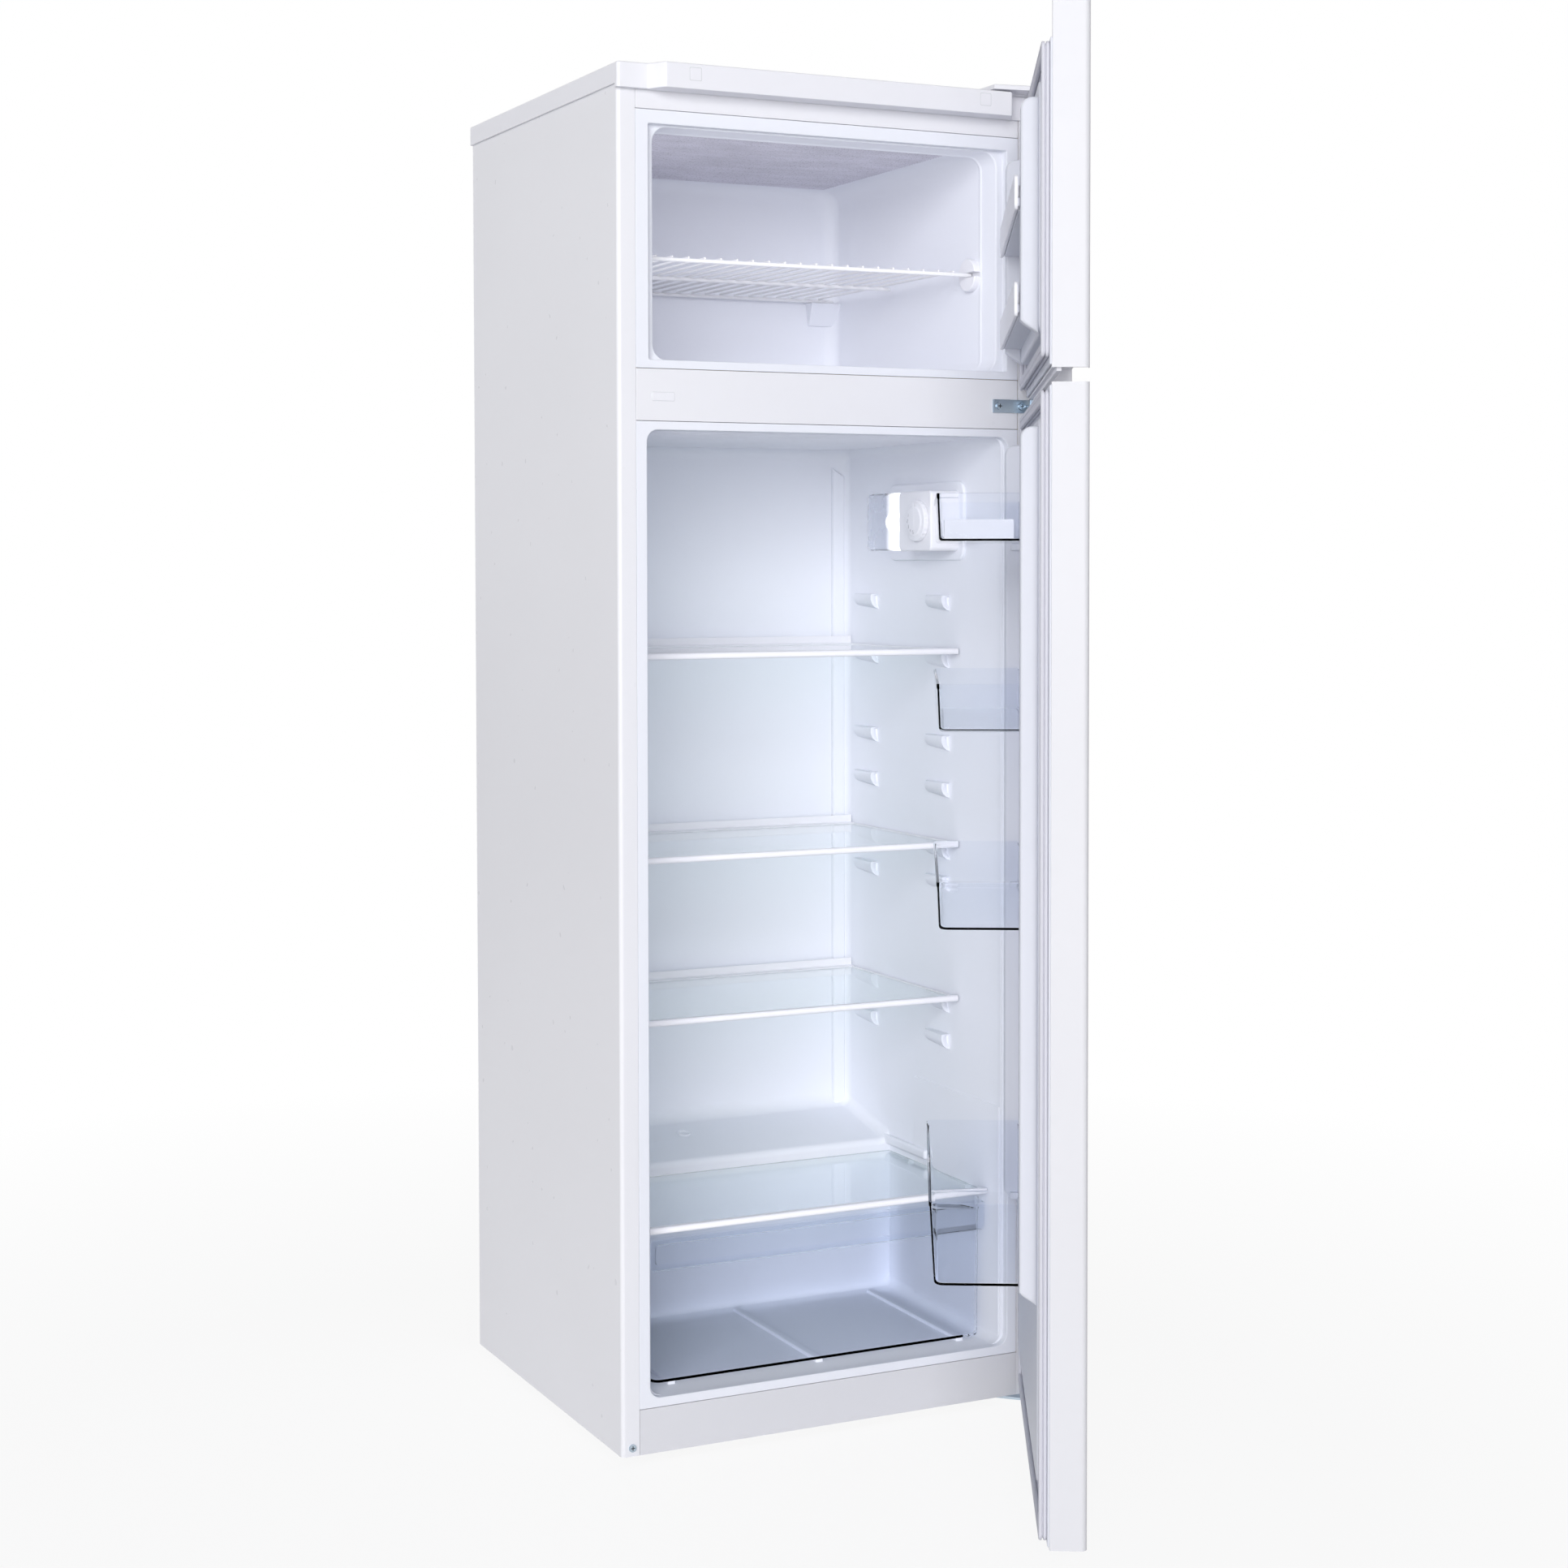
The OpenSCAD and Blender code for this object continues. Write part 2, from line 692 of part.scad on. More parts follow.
// room inside the hollow trim, open below
function trim_room(w, back) = concat(
    [[w - overhang, back], [w - overhang, w - corner_y]],
    s_curve(33 + w / 2, w - corner_y, 50 + w / 2, w - bulge_y),
    s_curve(cab_w - 50 - w / 2, w - bulge_y, cab_w - 33 - w / 2, back));

module worktop() {
    w = worktop_t;
    x0 = -overhang;
    x1 = cab_w + overhang;
    y1 = cab_d + overhang;
    color(white) in_row_frame() difference() {
        union() {
            worktop_tray(w, x0, x1, y1);
            for (x = top_screws)
                rod_z(x, top_screw_y, 7, z_top, z_work - w / 2);
        }
        for (x = top_screws)
            rod_z(x, top_screw_y, screw_r, z_top + 4, z_work + 1);
    }
}

module worktop_tray(w, x0, x1, y1) {
    along_z(z_work - w, z_work)
        polygon(concat(front_edge, [[x1, y1], [x0, y1]]));
    difference() {
        along_z(z_top - trim_drop, z_work - w / 2)
            polygon(concat(front_edge, [[x1, -0.5], [x0, -0.5]]));
        along_z(z_top - trim_drop - 1, z_work - w)
            polygon(trim_room(w, -0.4 - w / 2));
        mirror_x() plug_hole();
    }
    mirror_x() block([x0, -0.6, z_top], [0, y1, z_work - w / 2]);
    block([x0, cab_d, z_top], [x1, y1, z_work - w / 2]);
    for (y = [cab_d * 0.25, cab_d * 0.5, cab_d * 0.75])
        block([-0.5, y - 2, z_top], [cab_w + 0.5, y + 2, z_work - w / 2]);
}

plug_x = 85;
plug_s = 15;
plug_z = z_work - 12;

module plug_hole() {
    block([plug_x - plug_s / 2, -bulge_y - 1, plug_z - plug_s / 2],
          [plug_x + plug_s / 2, -bulge_y + worktop_t + 1, plug_z + plug_s / 2]);
}

module square_plug() {
    g = 0.3;
    block([plug_x - plug_s / 2 + g, -bulge_y - 0.2, plug_z - plug_s / 2 + g],
          [plug_x + plug_s / 2 - g, -bulge_y + worktop_t, plug_z + plug_s / 2 - g]);
}

module blanking_plugs() {
    color(white) in_row_frame() {
        mirror_x() square_plug();
        block([42, -0.8, z_split - 5], [70, 0, z_split + 5]);
    }
}

// ---- hinges ----

arm_z = z_work + door_over + 0.6;       // underside of the top hinge's arm
arm_t = 2.5;
hinge_x0 = axis_x - 52;
top_screws = [hinge_x0 + 18, cab_w - 14];
top_screw_y = 24;

module top_hinge() {
    color(zinc) in_row_frame() difference() {
        union() {
            block([hinge_x0 + 10, -hinge_corner_y + 6, z_work], [cab_w - 6, 34, arm_z + 0.2]);
            along_z(arm_z, arm_z + arm_t) polygon(concat(
                [[cab_w - 6, 34], [hinge_x0 + 10, 34], [hinge_x0 + 10, 2]],
                arc([axis_x, axis_y], pin_r + 4, 200, 340)));
            rod_z(axis_x, axis_y, pin_r, arm_z - pin_l - door_over, arm_z + arm_t);
        }
        for (x = top_screws)
            rod_z(x, top_screw_y, screw_r, z_work - 1, arm_z + arm_t + 1);
    }
}

module hinge_cover() {
    low = z_work + 0.1;
    high = arm_z + arm_t + 3.4;
    wall = 1.5;
    y1 = 46;
    reach = axis_y - pin_r - 12;
    plan = concat([[cab_w + 2, y1], [hinge_x0 - 10, y1], [hinge_x0 - 10, -bulge_y + 4]],
                  arc([axis_x - 4, reach + 14], 14, 250, 280),
                  arc([cab_w - 6, reach + 8], 8, 280, 360));
    inner = concat([[cab_w + 2 - wall, y1 - wall], [hinge_x0 - 10 + wall, y1 - wall],
                    [hinge_x0 - 10 + wall, -bulge_y + 4 + wall]],
                   arc([axis_x - 4, reach + 14], 14 - wall, 250, 280),
                   arc([cab_w - 6, reach + 8], 8 - wall, 280, 360));
    color(white) in_row_frame() difference() {
        along_z(low, high) polygon(plan);
        along_z(low - 1, high - wall) polygon(inner);
        block([0, -80, 0], [cab_w + 10, 1 - hinge_corner_y, arm_z - 0.3]);
    }
}

module middle_hinge() {
    plate_x0 = axis_x - 49;
    arm_x0 = axis_x - 3.6;
    color(zinc) in_row_frame() difference() {
        union() {
            block([plate_x0, -plate_t, z_split - 8], [cab_w - 4, 0, z_split + 8]);
            along_z(z_split - plate_t / 2, z_split + plate_t / 2) polygon(concat(
                [[cab_w - 4, -1], [arm_x0, -1]],
                arc([axis_x, axis_y], pin_r + 4, 200, 340)));
            rod_z(axis_x, axis_y, pin_r, low_z1 - pin_l, up_z0 + pin_l);
            rod_z(axis_x, axis_y, pin_r + 3.5, low_z1 + snug, up_z0 - snug);
        }
        for (x = hinge_bolts)
            rod_y(x, z_split, screw_r, -plate_t - 1, 1);
    }
}

module bottom_hinge() {
    t = min(plate_t, foot_h - 3);
    z0 = z_body - t;
    color(zinc) in_row_frame() difference() {
        union() {
            along_z(z0, z_body) polygon(concat(
                [[cab_w - 4, 60], [axis_x - 40, 60], [axis_x - 40, 10]],
                arc([axis_x, axis_y], pin_r + 4, 200, 340)));
            rod_z(axis_x, axis_y, pin_r, z0, low_z0 + pin_l);
            rod_z(axis_x, axis_y, pin_r + 3.5, z0, low_z0 - snug);
        }
        for (y = [20, 48])
            rod_z(axis_x - 30, y, screw_r, z0 - 1, z_body + 1);
    }
}

// a pan head on a plain shank, pointing along -z
module screw(length) {
    cylinder(r = screw_r * 1.9, h = 1.8);
    translate([0, 0, -length]) cylinder(r = screw_r - 0.1, h = length + 0.1);
}

module cabinet_screws() {
    color(zinc) in_row_frame() {
        for (x = hinge_bolts)
            translate([x, -plate_t, z_split]) rotate([90, 0, 0]) screw(12);
        for (x = top_screws)
            translate([x, top_screw_y, arm_z + arm_t]) screw(16);
        for (y = [20, 48])
            translate([axis_x - 30, y, z_body - min(plate_t, foot_h - 3)])
                rotate([180, 0, 0]) screw(0.8 * plate_t);
        mirror_x() translate([13, 0, z_body + 10]) rotate([90, 0, 0]) screw(0);
        for (sx = [-1, 1], sy = [-1, 1])
            translate([comp_x + sx * mount_dx, comp_y + sy * mount_dy, 0]) {
                rod_z(0, 0, stud_r - 0.1, rail_z - rail_t, foot_z + 12);
                rod_z(0, 0, stud_r + 3, foot_z + 8.2, foot_z + 11);
            }
    }
}

// ---- cooling system ----

module compressor() {
    r = compressor_d / 2;
    edge = 26;
    profile = concat([[0, comp_z0], [r - edge, comp_z0]],
                     arc([r - edge, comp_z0 + edge], edge, 270, 360),
                     arc([r - edge * 1.4, comp_z1 - edge * 1.4], edge * 1.4, 0, 90),
                     [[0, comp_z1]]);
    color("#26272a") in_row_frame() {
        difference() {
            union() {
                translate([comp_x, comp_y, 0]) rotate_extrude() polygon(profile);
                block([comp_x - mount_dx - 14, comp_y - mount_dy - 12, foot_z],
                      [comp_x + mount_dx + 14, comp_y + mount_dy + 12, foot_z + foot_plate_t]);
                block([comp_x - 30, comp_y - 30, foot_z], [comp_x + 30, comp_y + 30, comp_z0 + 4]);
            }
            for (sx = [-1, 1], sy = [-1, 1])
                rod_z(comp_x + sx * mount_dx, comp_y + sy * mount_dy, 6, foot_z - 1,
                      foot_z + foot_plate_t + 1);
        }
    }
}

module compressor_mounts() {
    color("#1d1d1f") in_row_frame()
        for (sx = [-1, 1], sy = [-1, 1])
            translate([comp_x + sx * mount_dx, comp_y + sy * mount_dy, 0]) difference() {
                union() {
                    rod_z(0, 0, 10, rail_z, foot_z);
                    rod_z(0, 0, 5.8, foot_z - 1, foot_z + foot_plate_t + 1);
                    rod_z(0, 0, 9, foot_z + foot_plate_t + 0.1, foot_z + 8);
                }
                rod_z(0, 0, stud_r, rail_z - 1, foot_z + 9);
            }
}

// relay and terminals on the compressor's side, with the gland for a cord
module terminal_box() {
    y0 = comp_y - 26;
    y1 = comp_y + 26;
    z0 = comp_z0 + 34;
    z1 = z0 + 56;
    gland_x = (box_x0 + box_x1) / 2;
    gland_z = z0 + 20;
    color("#2b2c30") in_row_frame() difference() {
        union() {
            difference() {
                block([box_x0, y0, z0], [box_x1, y1, z1]);
                block([box_x0 + 2, y0 + 2, z0 + 2], [box_x1 - 2, y1 - 2, z1 - 2]);
            }
            rod_y(gland_x, gland_z, gland_r + 3.4, y1 - 1, y1 + gland_l - 2);
            block([box_x0 - 8, comp_y - 12, z0 + 10], [box_x0 + 1, comp_y + 12, z0 + 40]);
        }
        rod_y(gland_x, gland_z, gland_r, y1 - 3, y1 + gland_l);
        translate([comp_x, comp_y, 0]) rod_z(0, 0, compressor_d / 2 + 0.2, z0 - 1, z1 + 1);
    }
}

module evaporating_tray() {
    low = [comp_x - tray_w / 2, comp_y - tray_d / 2, tray_z];
    high = [comp_x + tray_w / 2, comp_y + tray_d / 2, tray_z + tray_h];
    wall = [2, 2, 2];
    color("#d8dade") in_row_frame() difference() {
        block(low, high);
        block(low + wall, high + [-2, -2, 1]);
    }
}

module drain_tube() {
    color("#c9ccd2") in_row_frame() difference() {
        union() {
            rod_z(drain_x, drain_y, drain_r, tray_z + 10, hump_z - liner_t);
        }
        rod_z(drain_x, drain_y, drain_r - 2, tray_z + 9, hump_z);
    }
}

module filter_drier() {
    x = comp_x + 190;
    y = comp_y + 10;
    z = comp_z0 + 30;
    r = 9;
    color("#b87548") in_row_frame() translate([x, y, z]) rotate_extrude()
        polygon([[0, -16], [2.6, -16], [2.6, -6], [r, 4], [r, 86], [2.6, 96], [2.6, 106],
                 [0, 106]]);
}

// discharge pipe to the condenser, liquid pipe to the drier, suction pipe from above
module refrigerant_pipes() {
    r = pipe_r;
    side = comp_x - compressor_d / 2;
    drier = [comp_x + 190, comp_y + 10, comp_z0 + 136 + snug];
    color("#b87548") in_row_frame() {
        pipe([[side - snug, comp_y, comp_z0 + 62], [side - 22, comp_y, comp_z0 + 62],
              [side - 22, cab_d - 22, comp_z0 + 62], [side - 22, cond_y, comp_z0 + 62],
              [side - 22, cond_y, cond_z0 - 40], [cond_x0 - 14, cond_y, cond_z0 - 40],
              [cond_x0 - 14, cond_y, cond_z0], [cond_x0 - snug, cond_y, cond_z0]], r);
        pipe([drier, drier + [0, 0, 18], [drier.x, cond_y, drier.z + 18],
              [cond_x1 + condenser_pitch / 2 + 12, cond_y, drier.z + 18],
              [cond_x1 + condenser_pitch / 2 + 12, cond_y, cond_z1],
              [cond_x1 + snug, cond_y, cond_z1]], r);
        pipe([[comp_x + 30, comp_y - 60, comp_z0 + 40],
              [comp_x + 30, machine_y + 10, comp_z0 + 40],
              [riser.x, machine_y + 10, comp_z0 + 40],
              [riser.x, riser.y, comp_z0 + 40], [riser.x, riser.y, z_evap + 7],
              [fz_x1 - 20, riser.y, z_evap + 7], [fz_x1 - 20, fz_y1 - 20, z_evap + 7]], r);
    }
}

module condenser() {
    half = condenser_pitch / 2;
    color("#2a2b2e") in_row_frame() {
        for (i = [0:cond_n])
            rod_x(cond_y, cond_z0 + i * condenser_pitch, tube_r, cond_x0, cond_x1);
        for (i = [0:cond_n - 1]) {
            right = i % 2 == 0;
            translate([right ? cond_x1 : cond_x0, cond_y, cond_z0 + i * condenser_pitch + half])
                rotate([90, 0, 0]) rotate([0, 0, right ? -90 : 90])
                    rotate_extrude(angle = 180) translate([half, 0]) circle(r = tube_r);
        }
        for (i = [0:wire_n - 1]) {
            x = cond_x0 + 12 + i * (cond_x1 - cond_x0 - 24) / (wire_n - 1);
            for (side = [-1, 1])
                translate([x, cond_y + side * (tube_r + 0.05 + wire_t / 2), 0])
                    block([-wire_t / 2, -wire_t / 2, cond_z0 - 8],
                          [wire_t / 2, wire_t / 2, cond_z1 + 8]);
        }
    }
}

module condenser_brackets() {
    z_low = cond_z0 + condenser_pitch / 2;
    z_high = cond_z1 - condenser_pitch / 2;
    rim = cond_gap - tube_r - wire_t - 0.2;
    color("#e2e3e7") in_row_frame()
        for (z = [z_low, z_high]) mirror_x()
            block([cond_x0 + 8, cab_d - sheet_t, z - 12],
                  [cond_x0 + 30, cab_d + rim, z + 12]);
}

module evaporators() {
    plate = 0.8;
    channel_h = 3;
    z0 = z_evap + liner_t;
    n = 11;
    y0 = 44;
    y1 = fz_y1 - 40;
    low_z = z_fr1 - 540;
    high_z = z_fr1 - 60;
    back = fr_y1 + liner_t;
    rows = 9;
    color("#c3c8ce") in_row_frame() {
        block([fz_x0 + 12, y0 - 8, z0], [fz_x1 - 12, fz_y1 - 14, z0 + plate]);
        for (i = [0:n - 1])
            rod_x(y0 + i * (y1 - y0) / (n - 1), z0 + plate + 2.6, 3, fz_x0 + 22, fz_x1 - 22);
        for (i = [0:n - 2]) {
            y = y0 + i * (y1 - y0) / (n - 1);
            x = i % 2 == 0 ? fz_x1 - 24 : fz_x0 + 24;
            rod_y(x, z0 + plate + 2.6, 2.9, y, y + (y1 - y0) / (n - 1));
        }
        block([fr_x0 + 30, back, low_z], [fr_x1 - 30, back + plate, high_z]);
        for (i = [0:rows - 1])
            block([fr_x0 + 44, back + plate / 2, low_z + 24 + i * 54],
                  [fr_x1 - 44, back + plate + channel_h, low_z + 34 + i * 54]);
        for (i = [0:rows - 2]) {
            x = i % 2 == 0 ? fr_x1 - 54 : fr_x0 + 44;
            block([x, back + plate / 2, low_z + 30 + i * 54],
                  [x + 10, back + plate + channel_h, low_z + 80 + i * 54]);
        }
    }
}

// ---- thermostat and lamp ----

module thermostat_housing() {
    low = [house_y0, house_z0];
    high = [house_y1, house_z1];
    t = house_t;
    color("#f1f1f5") in_row_frame() difference() {
        union() {
            along_x(house_x0, house_x1) polygon(round_rect(low, high, 6));
            block([button_x - 9, nose_y0, button_z - 12],
                  [house_x1, house_y0 + 3, button_z + 12]);
        }
        block([house_x0 + t, house_y0 + t, house_z0 + t],
              [house_x1 + 1, house_y1 - t, house_z1 - t]);
        rod_x(knob_y, knob_z, shaft_r + run_gap, house_x0 - 1, house_x0 + t + 1);
        rod_y(button_x, button_z, button_r + run_gap, nose_y0 - 1, nose_y0 + 24);
        rod_y((house_x0 + house_x1) / 2, knob_z, 9, house_y1 - t - 1, house_y1 + 1);
    }
}

// control body behind the knob
module thermostat() {
    color("#c9ced6") in_row_frame() difference() {
        block([house_x0 + house_t + 4, knob_y - 18, knob_z - 17],
              [house_x1 - 0.2, knob_y + 22, knob_z + 17]);
        rod_x(knob_y, knob_z, shaft_r + run_gap, house_x0, house_x0 + 22);
    }
}

module thermostat_knob() {
    rim = 7;
    color("#f6f6f9") in_row_frame() {
        rod_x(knob_y, knob_z, knob_r - 2, house_x0 - rim - 2, house_x0 - rim + 0.5);
        rod_x(knob_y, knob_z, knob_r, house_x0 - rim, house_x0 - 0.4);
        rod_x(knob_y, knob_z, shaft_r, house_x0 - 1, house_x0 + 20);
    }
}

lamp_x = (house_x0 + house_x1) / 2;

module lamp_holder() {
    color("#e9e6da") in_row_frame() difference() {
        union() {
            rod_y(lamp_x, knob_z, 8.8, house_y1 - house_t - 6, house_y1 + 4);
            rod_y(lamp_x, knob_z, 12.5, house_y1 + 0.1, house_y1 + 18);
        }
        rod_y(lamp_x, knob_z, 8, house_y1 + 2, house_y1 + 19);
    }
}

module lamp_bulb() {
    neck = house_y1 + 20;
    color("#fff6d8") in_row_frame() {
        rod_y(lamp_x, knob_z, 7.6, house_y1 + 2.3, neck);
        rod_y(lamp_x, knob_z, 11, neck - 1, neck + 28);
        translate([lamp_x, neck + 28, knob_z]) sphere(r = 11);
    }
}

module lamp_cover() {
    t = 1.6;
    color(clear) in_row_frame() difference() {
        along_x(house_x0 + 2, house_x1)
            polygon(round_rect([house_y1 + 0.2, house_z0 + 1], [lamp_y1, house_z1 - 1], 6));
        along_x(house_x0 + 2 + t, house_x1 + 1)
            polygon(round_rect([house_y1 - 20, house_z0 + 1 + t],
                               [lamp_y1 - t, house_z1 - 1 - t], 4));
    }
}

module light_switch_button() {
    color("#fbfbfd") in_row_frame() {
        rod_y(button_x, button_z, button_r, dike_y + 0.5, nose_y0 + 16);
    }
}

// ---- shelves, crisper and wire shelf ----

// glass with its edges let into the trims
module shelf_glass(seat, y0, y1) {
    color("#d7ebe4") in_row_frame()
        block([shelf_x0 + 1.5, y0 + 2, seat + snug], [shelf_x1 - 1.5, y1 - 2,
              seat + snug + glass_t]);
}

// front trim that wraps the glass
module front_trim(seat, y0) {
    z0 = seat + snug - (trim_h - glass_t) / 2 + 1;
    slot = 0.1;
    difference() {
        block([shelf_x0, y0, z0], [shelf_x1, y0 + trim_d, z0 + trim_h]);
        block([shelf_x0 - 1, y0 + 2 - slot, seat + snug - slot],
              [shelf_x1 + 1, y0 + trim_d + 1, seat + snug + glass_t + slot]);
    }
}

// rear trim with an upstand that keeps food off the back wall
module rear_trim(seat, y1) {
    z0 = seat + snug;
    slot = 0.1;
    difference() {
        union() {
            block([shelf_x0, y1 - 12, z0], [shelf_x1, y1, seat + snug + glass_t + 1.5]);
            block([shelf_x0, y1 - 2, z0], [shelf_x1, y1, seat + rear_trim_h]);
        }
        block([shelf_x0 - 1, y1 - 13, seat + snug - slot],
              [shelf_x1 + 1, y1 - 2 + slot, seat + snug + glass_t + slot]);
    }
}

module shelf_trim(seat) {
    color(white) in_row_frame() {
        front_trim(seat, shelf_y);
        rear_trim(seat, shelf_y1);
    }
}

module shelf_glass_1() { shelf_glass(shelf_seats[0], shelf_y, shelf_y1); }
module shelf_glass_2() { shelf_glass(shelf_seats[1], shelf_y, shelf_y1); }
module shelf_glass_3() { shelf_glass(shelf_seats[2], shelf_y, shelf_y1); }
module shelf_trim_1() { shelf_trim(shelf_seats[0]); }
module shelf_trim_2() { shelf_trim(shelf_seats[1]); }
module shelf_trim_3() { shelf_trim(shelf_seats[2]); }

module crisper_cover() {
    shelf_glass(z_cover - snug, drawer_y, cover_y1 + 2);
}

module crisper_cover_trim() {
    color(white) in_row_frame() front_trim(z_cover - snug, drawer_y);
}

module crisper_drawer() {
    t = drawer_t;
    z1 = z_drawer + drawer_h;
    lip_h = 38;
    color(clear) in_row_frame() difference() {
        union() {
            block([drawer_x0, drawer_y, z_drawer], [drawer_x1, drawer_y1, z1]);
            along_y(drawer_y - 5, drawer_y + 1) polygon(round_rect(
                [drawer_x0, z1 - lip_h], [drawer_x1, z1 - 1], 5));
        }
        block([drawer_x0 + t, drawer_y + t, z_drawer + t],
              [drawer_x1 - t, drawer_y1 - t, z1 + 1]);
        block([drawer_x0 + 8, drawer_y - 3, z1 - lip_h - 1],
              [drawer_x1 - 8, drawer_y, z1 - 4]);
    }
}

module freezer_wire_shelf() {
    reach = 6;
    thin_z = wire_z + bar_r + thin_r - 0.5;
    n = floor((fz_x1 - fz_x0 - 40) / wire_pitch);
    x_first = (cab_w - n * wire_pitch) / 2;
    mid_y = (wire_y + bar_y1) / 2 + 4;
    color(white) in_row_frame() {
        rod_x(wire_y, wire_z, bar_r, fz_x0 + 1 + snug, fz_x1 - 1 - snug);
        rod_x(mid_y, wire_z, bar_r, fz_x0 + 14, fz_x1 - 14);
        rod_x(bar_y1, wire_z, bar_r, fz_x0 + reach, fz_x1 - reach);
        for (i = [0:n])
            rod_y(x_first + i * wire_pitch, thin_z, thin_r, wire_y - 1, bar_y1 + 1);
    }
}

// ---- doors, laid out closed ----

module door_skin(z0, z1) {
    t = sheet_t;
    plan = concat(arc([door_r, skin_y + door_r], door_r, 180, 270),
                  arc([cab_w - door_r, skin_y + door_r], door_r, 270, 360),
                  [[cab_w, back_y], [cab_w - 8, back_y], [cab_w - 8, back_y - t],
                   [cab_w - t, back_y - t]],
                  arc([cab_w - door_r, skin_y + door_r], door_r - t, 360, 270),
                  arc([door_r, skin_y + door_r], door_r - t, 270, 180),
                  [[t, back_y - t], [8, back_y - t], [8, back_y], [0, back_y]]);
    along_z(z0, z1) polygon(plan);
}

// a door's inside plan, a hair clear of its skin
function core_plan(y1) = let (t = sheet_t + 0.02) concat(
    arc([door_r, skin_y + door_r], door_r - t, 180, 270),
    arc([cab_w - door_r, skin_y + door_r], door_r - t, 270, 360),
    [[cab_w - t, y1], [t, y1]]);

grip_x0 = 14;

module freezer_door_skin() {
    color(white) in_row_frame() on_door() difference() {
        door_skin(up_z0, up_z1);
        block([grip_x0, skin_y - 1, up_z0 - 1],
              [grip_x0 + grip_l, skin_y + 20, up_z0 + grip_h]);
    }
}

// cut in the upper door's top that takes the worktop's bulge
module bulge_room() {
    block([24, -bulge_y - 4, up_core1], [cab_w - 27, 0, up_z1 + 1]);
}

module grip_room(z0, z1) {
    block([grip_x0, skin_y - 1, z0], [grip_x0 + grip_l, skin_y + grip_d, z1]);
}

module freezer_door_caps() {
    g = back_y - sheet_t;
    color("#ededf2") in_row_frame() on_door() difference() {
        union() {
            along_z(up_core1, up_z1) polygon(core_plan(g));
            along_z(up_z0, up_z0 + cap_h) polygon(core_plan(g));
            block([8, skin_y + 7, up_z0 - 3.4], [axis_x - 24, g - 4, up_z0 + 1]);
        }
        bulge_room();
        grip_room(up_z0 - 5, up_z0 + grip_h);
        rod_z(axis_x, axis_y, pin_r + run_gap, up_z0 - 1, up_z0 + pin_l + 0.5);
        rod_z(axis_x, axis_y, pin_r + run_gap, up_z1 - pin_l - 2, up_z1 + 1);
    }
}

module freezer_door_foam() {
    color("#e8d9a0") in_row_frame() on_door()
        along_z(up_z0 + cap_h, up_core1) polygon(core_plan(back_y - sheet_t));
}

// the flat back of a door liner, its raised panel and its two side ribs
module door_liner(z, panel_x, panel_z, dike_x, dike_z) {
    edge = 2;
    y0 = back_y + 0.02;
    difference() {
        block([edge, y0, z[0]], [cab_w - edge, y0 + 2, z[1]]);
        block([panel_x[0] + liner_t, y0 - 1, panel_z[0] + liner_t],
              [panel_x[1] - liner_t, y0 + 3, panel_z[1] - liner_t]);
    }
    difference() {
        round_box_y([panel_x[0], y0, panel_z[0]], [panel_x[1], panel_y, panel_z[1]], 12);
        round_box_y([panel_x[0] + liner_t, y0 - 1, panel_z[0] + liner_t],
                    [panel_x[1] - liner_t, panel_y - liner_t, panel_z[1] - liner_t], 11);
    }
    for (x = [dike_x[0], dike_x[1] - dike_w])
        along_x(x, x + dike_w) polygon(concat(
            [[panel_y - liner_t / 2, dike_z[0] - 10], [dike_y - 4, dike_z[0]],
             [dike_y, dike_z[0] + 4]],
            arc([dike_y - 12, dike_z[1] - 12], 12, 0, 90),
            [[panel_y - liner_t / 2, dike_z[1]]]));
}

module freezer_door_liner() {
    ledge_y = dike_y + 2;
    color("#f3f3f8") in_row_frame() on_door() {
        door_liner([up_z0 + 3, up_core1], [fz_dike_x0, fz_dike_x1],
                   [z_fz0 + 4, z_fz1 + rebate_top - 4], [fz_dike_x0, fz_dike_x1],
                   [up_dike_z0 + 8, up_dike_z1]);
        for (z = freezer_ledges)
            block([fz_dike_x0 + dike_w - 1, panel_y - liner_t / 2, z - 6],
                  [fz_dike_x1 - dike_w + 1, ledge_y, z]);
    }
}

freezer_ledges = [up_dike_z0 + 22, up_dike_z0 + 132];

// guard rails of the freezer door's two shelves
module freezer_door_rails() {
    y0 = dike_y + 2 + snug;
    color(white) in_row_frame() on_door()
        for (z = freezer_ledges) {
            round_box_y([fz_dike_x0 + 4, y0, z - 6], [fz_dike_x1 - 4, y0 + 4, z + 30], 6);
            for (x = [fz_dike_x0 + dike_w - 8, fz_dike_x1 - dike_w - 2])
                block([x, dike_y + 0.1, z + 8], [x + 6, y0 + 1, z + 20]);
        }
}

// ring of a gasket: a dart in the liner, a neck and a soft lip
module gasket_ring(z, y0, y1, inset) {
    g = gasket_in + inset;
    w = gasket_w - 2 * inset;
    difference() {
        round_box_y([g, y0, z[0] + inset], [cab_w - g, y1, z[1] - inset], 7);
        round_box_y([g + w, y0 - 1, z[0] + inset + w],
                    [cab_w - g - w, y1 + 1, z[1] - inset - w], 3);
    }
}

module gasket(z) {
    y0 = back_y + 2.2;
    neck = y0 + 4.2;
    gasket_ring(z, y0, neck, 0);
    gasket_ring(z, neck - 0.1, neck + 1.1, 2);
    gasket_ring(z, neck + 1, gasket_y, 0);
}

module freezer_door_gasket() {
    color("#e6e6ee") in_row_frame() on_door() gasket(up_gasket);
}

module fridge_door_skin() {
    color(white) in_row_frame() on_door() difference() {
        door_skin(low_z0, low_z1);
        block([grip_x0, skin_y - 1, low_z1 - grip_h],
              [grip_x0 + grip_l, skin_y + 20, low_z1 + 1]);
    }
}

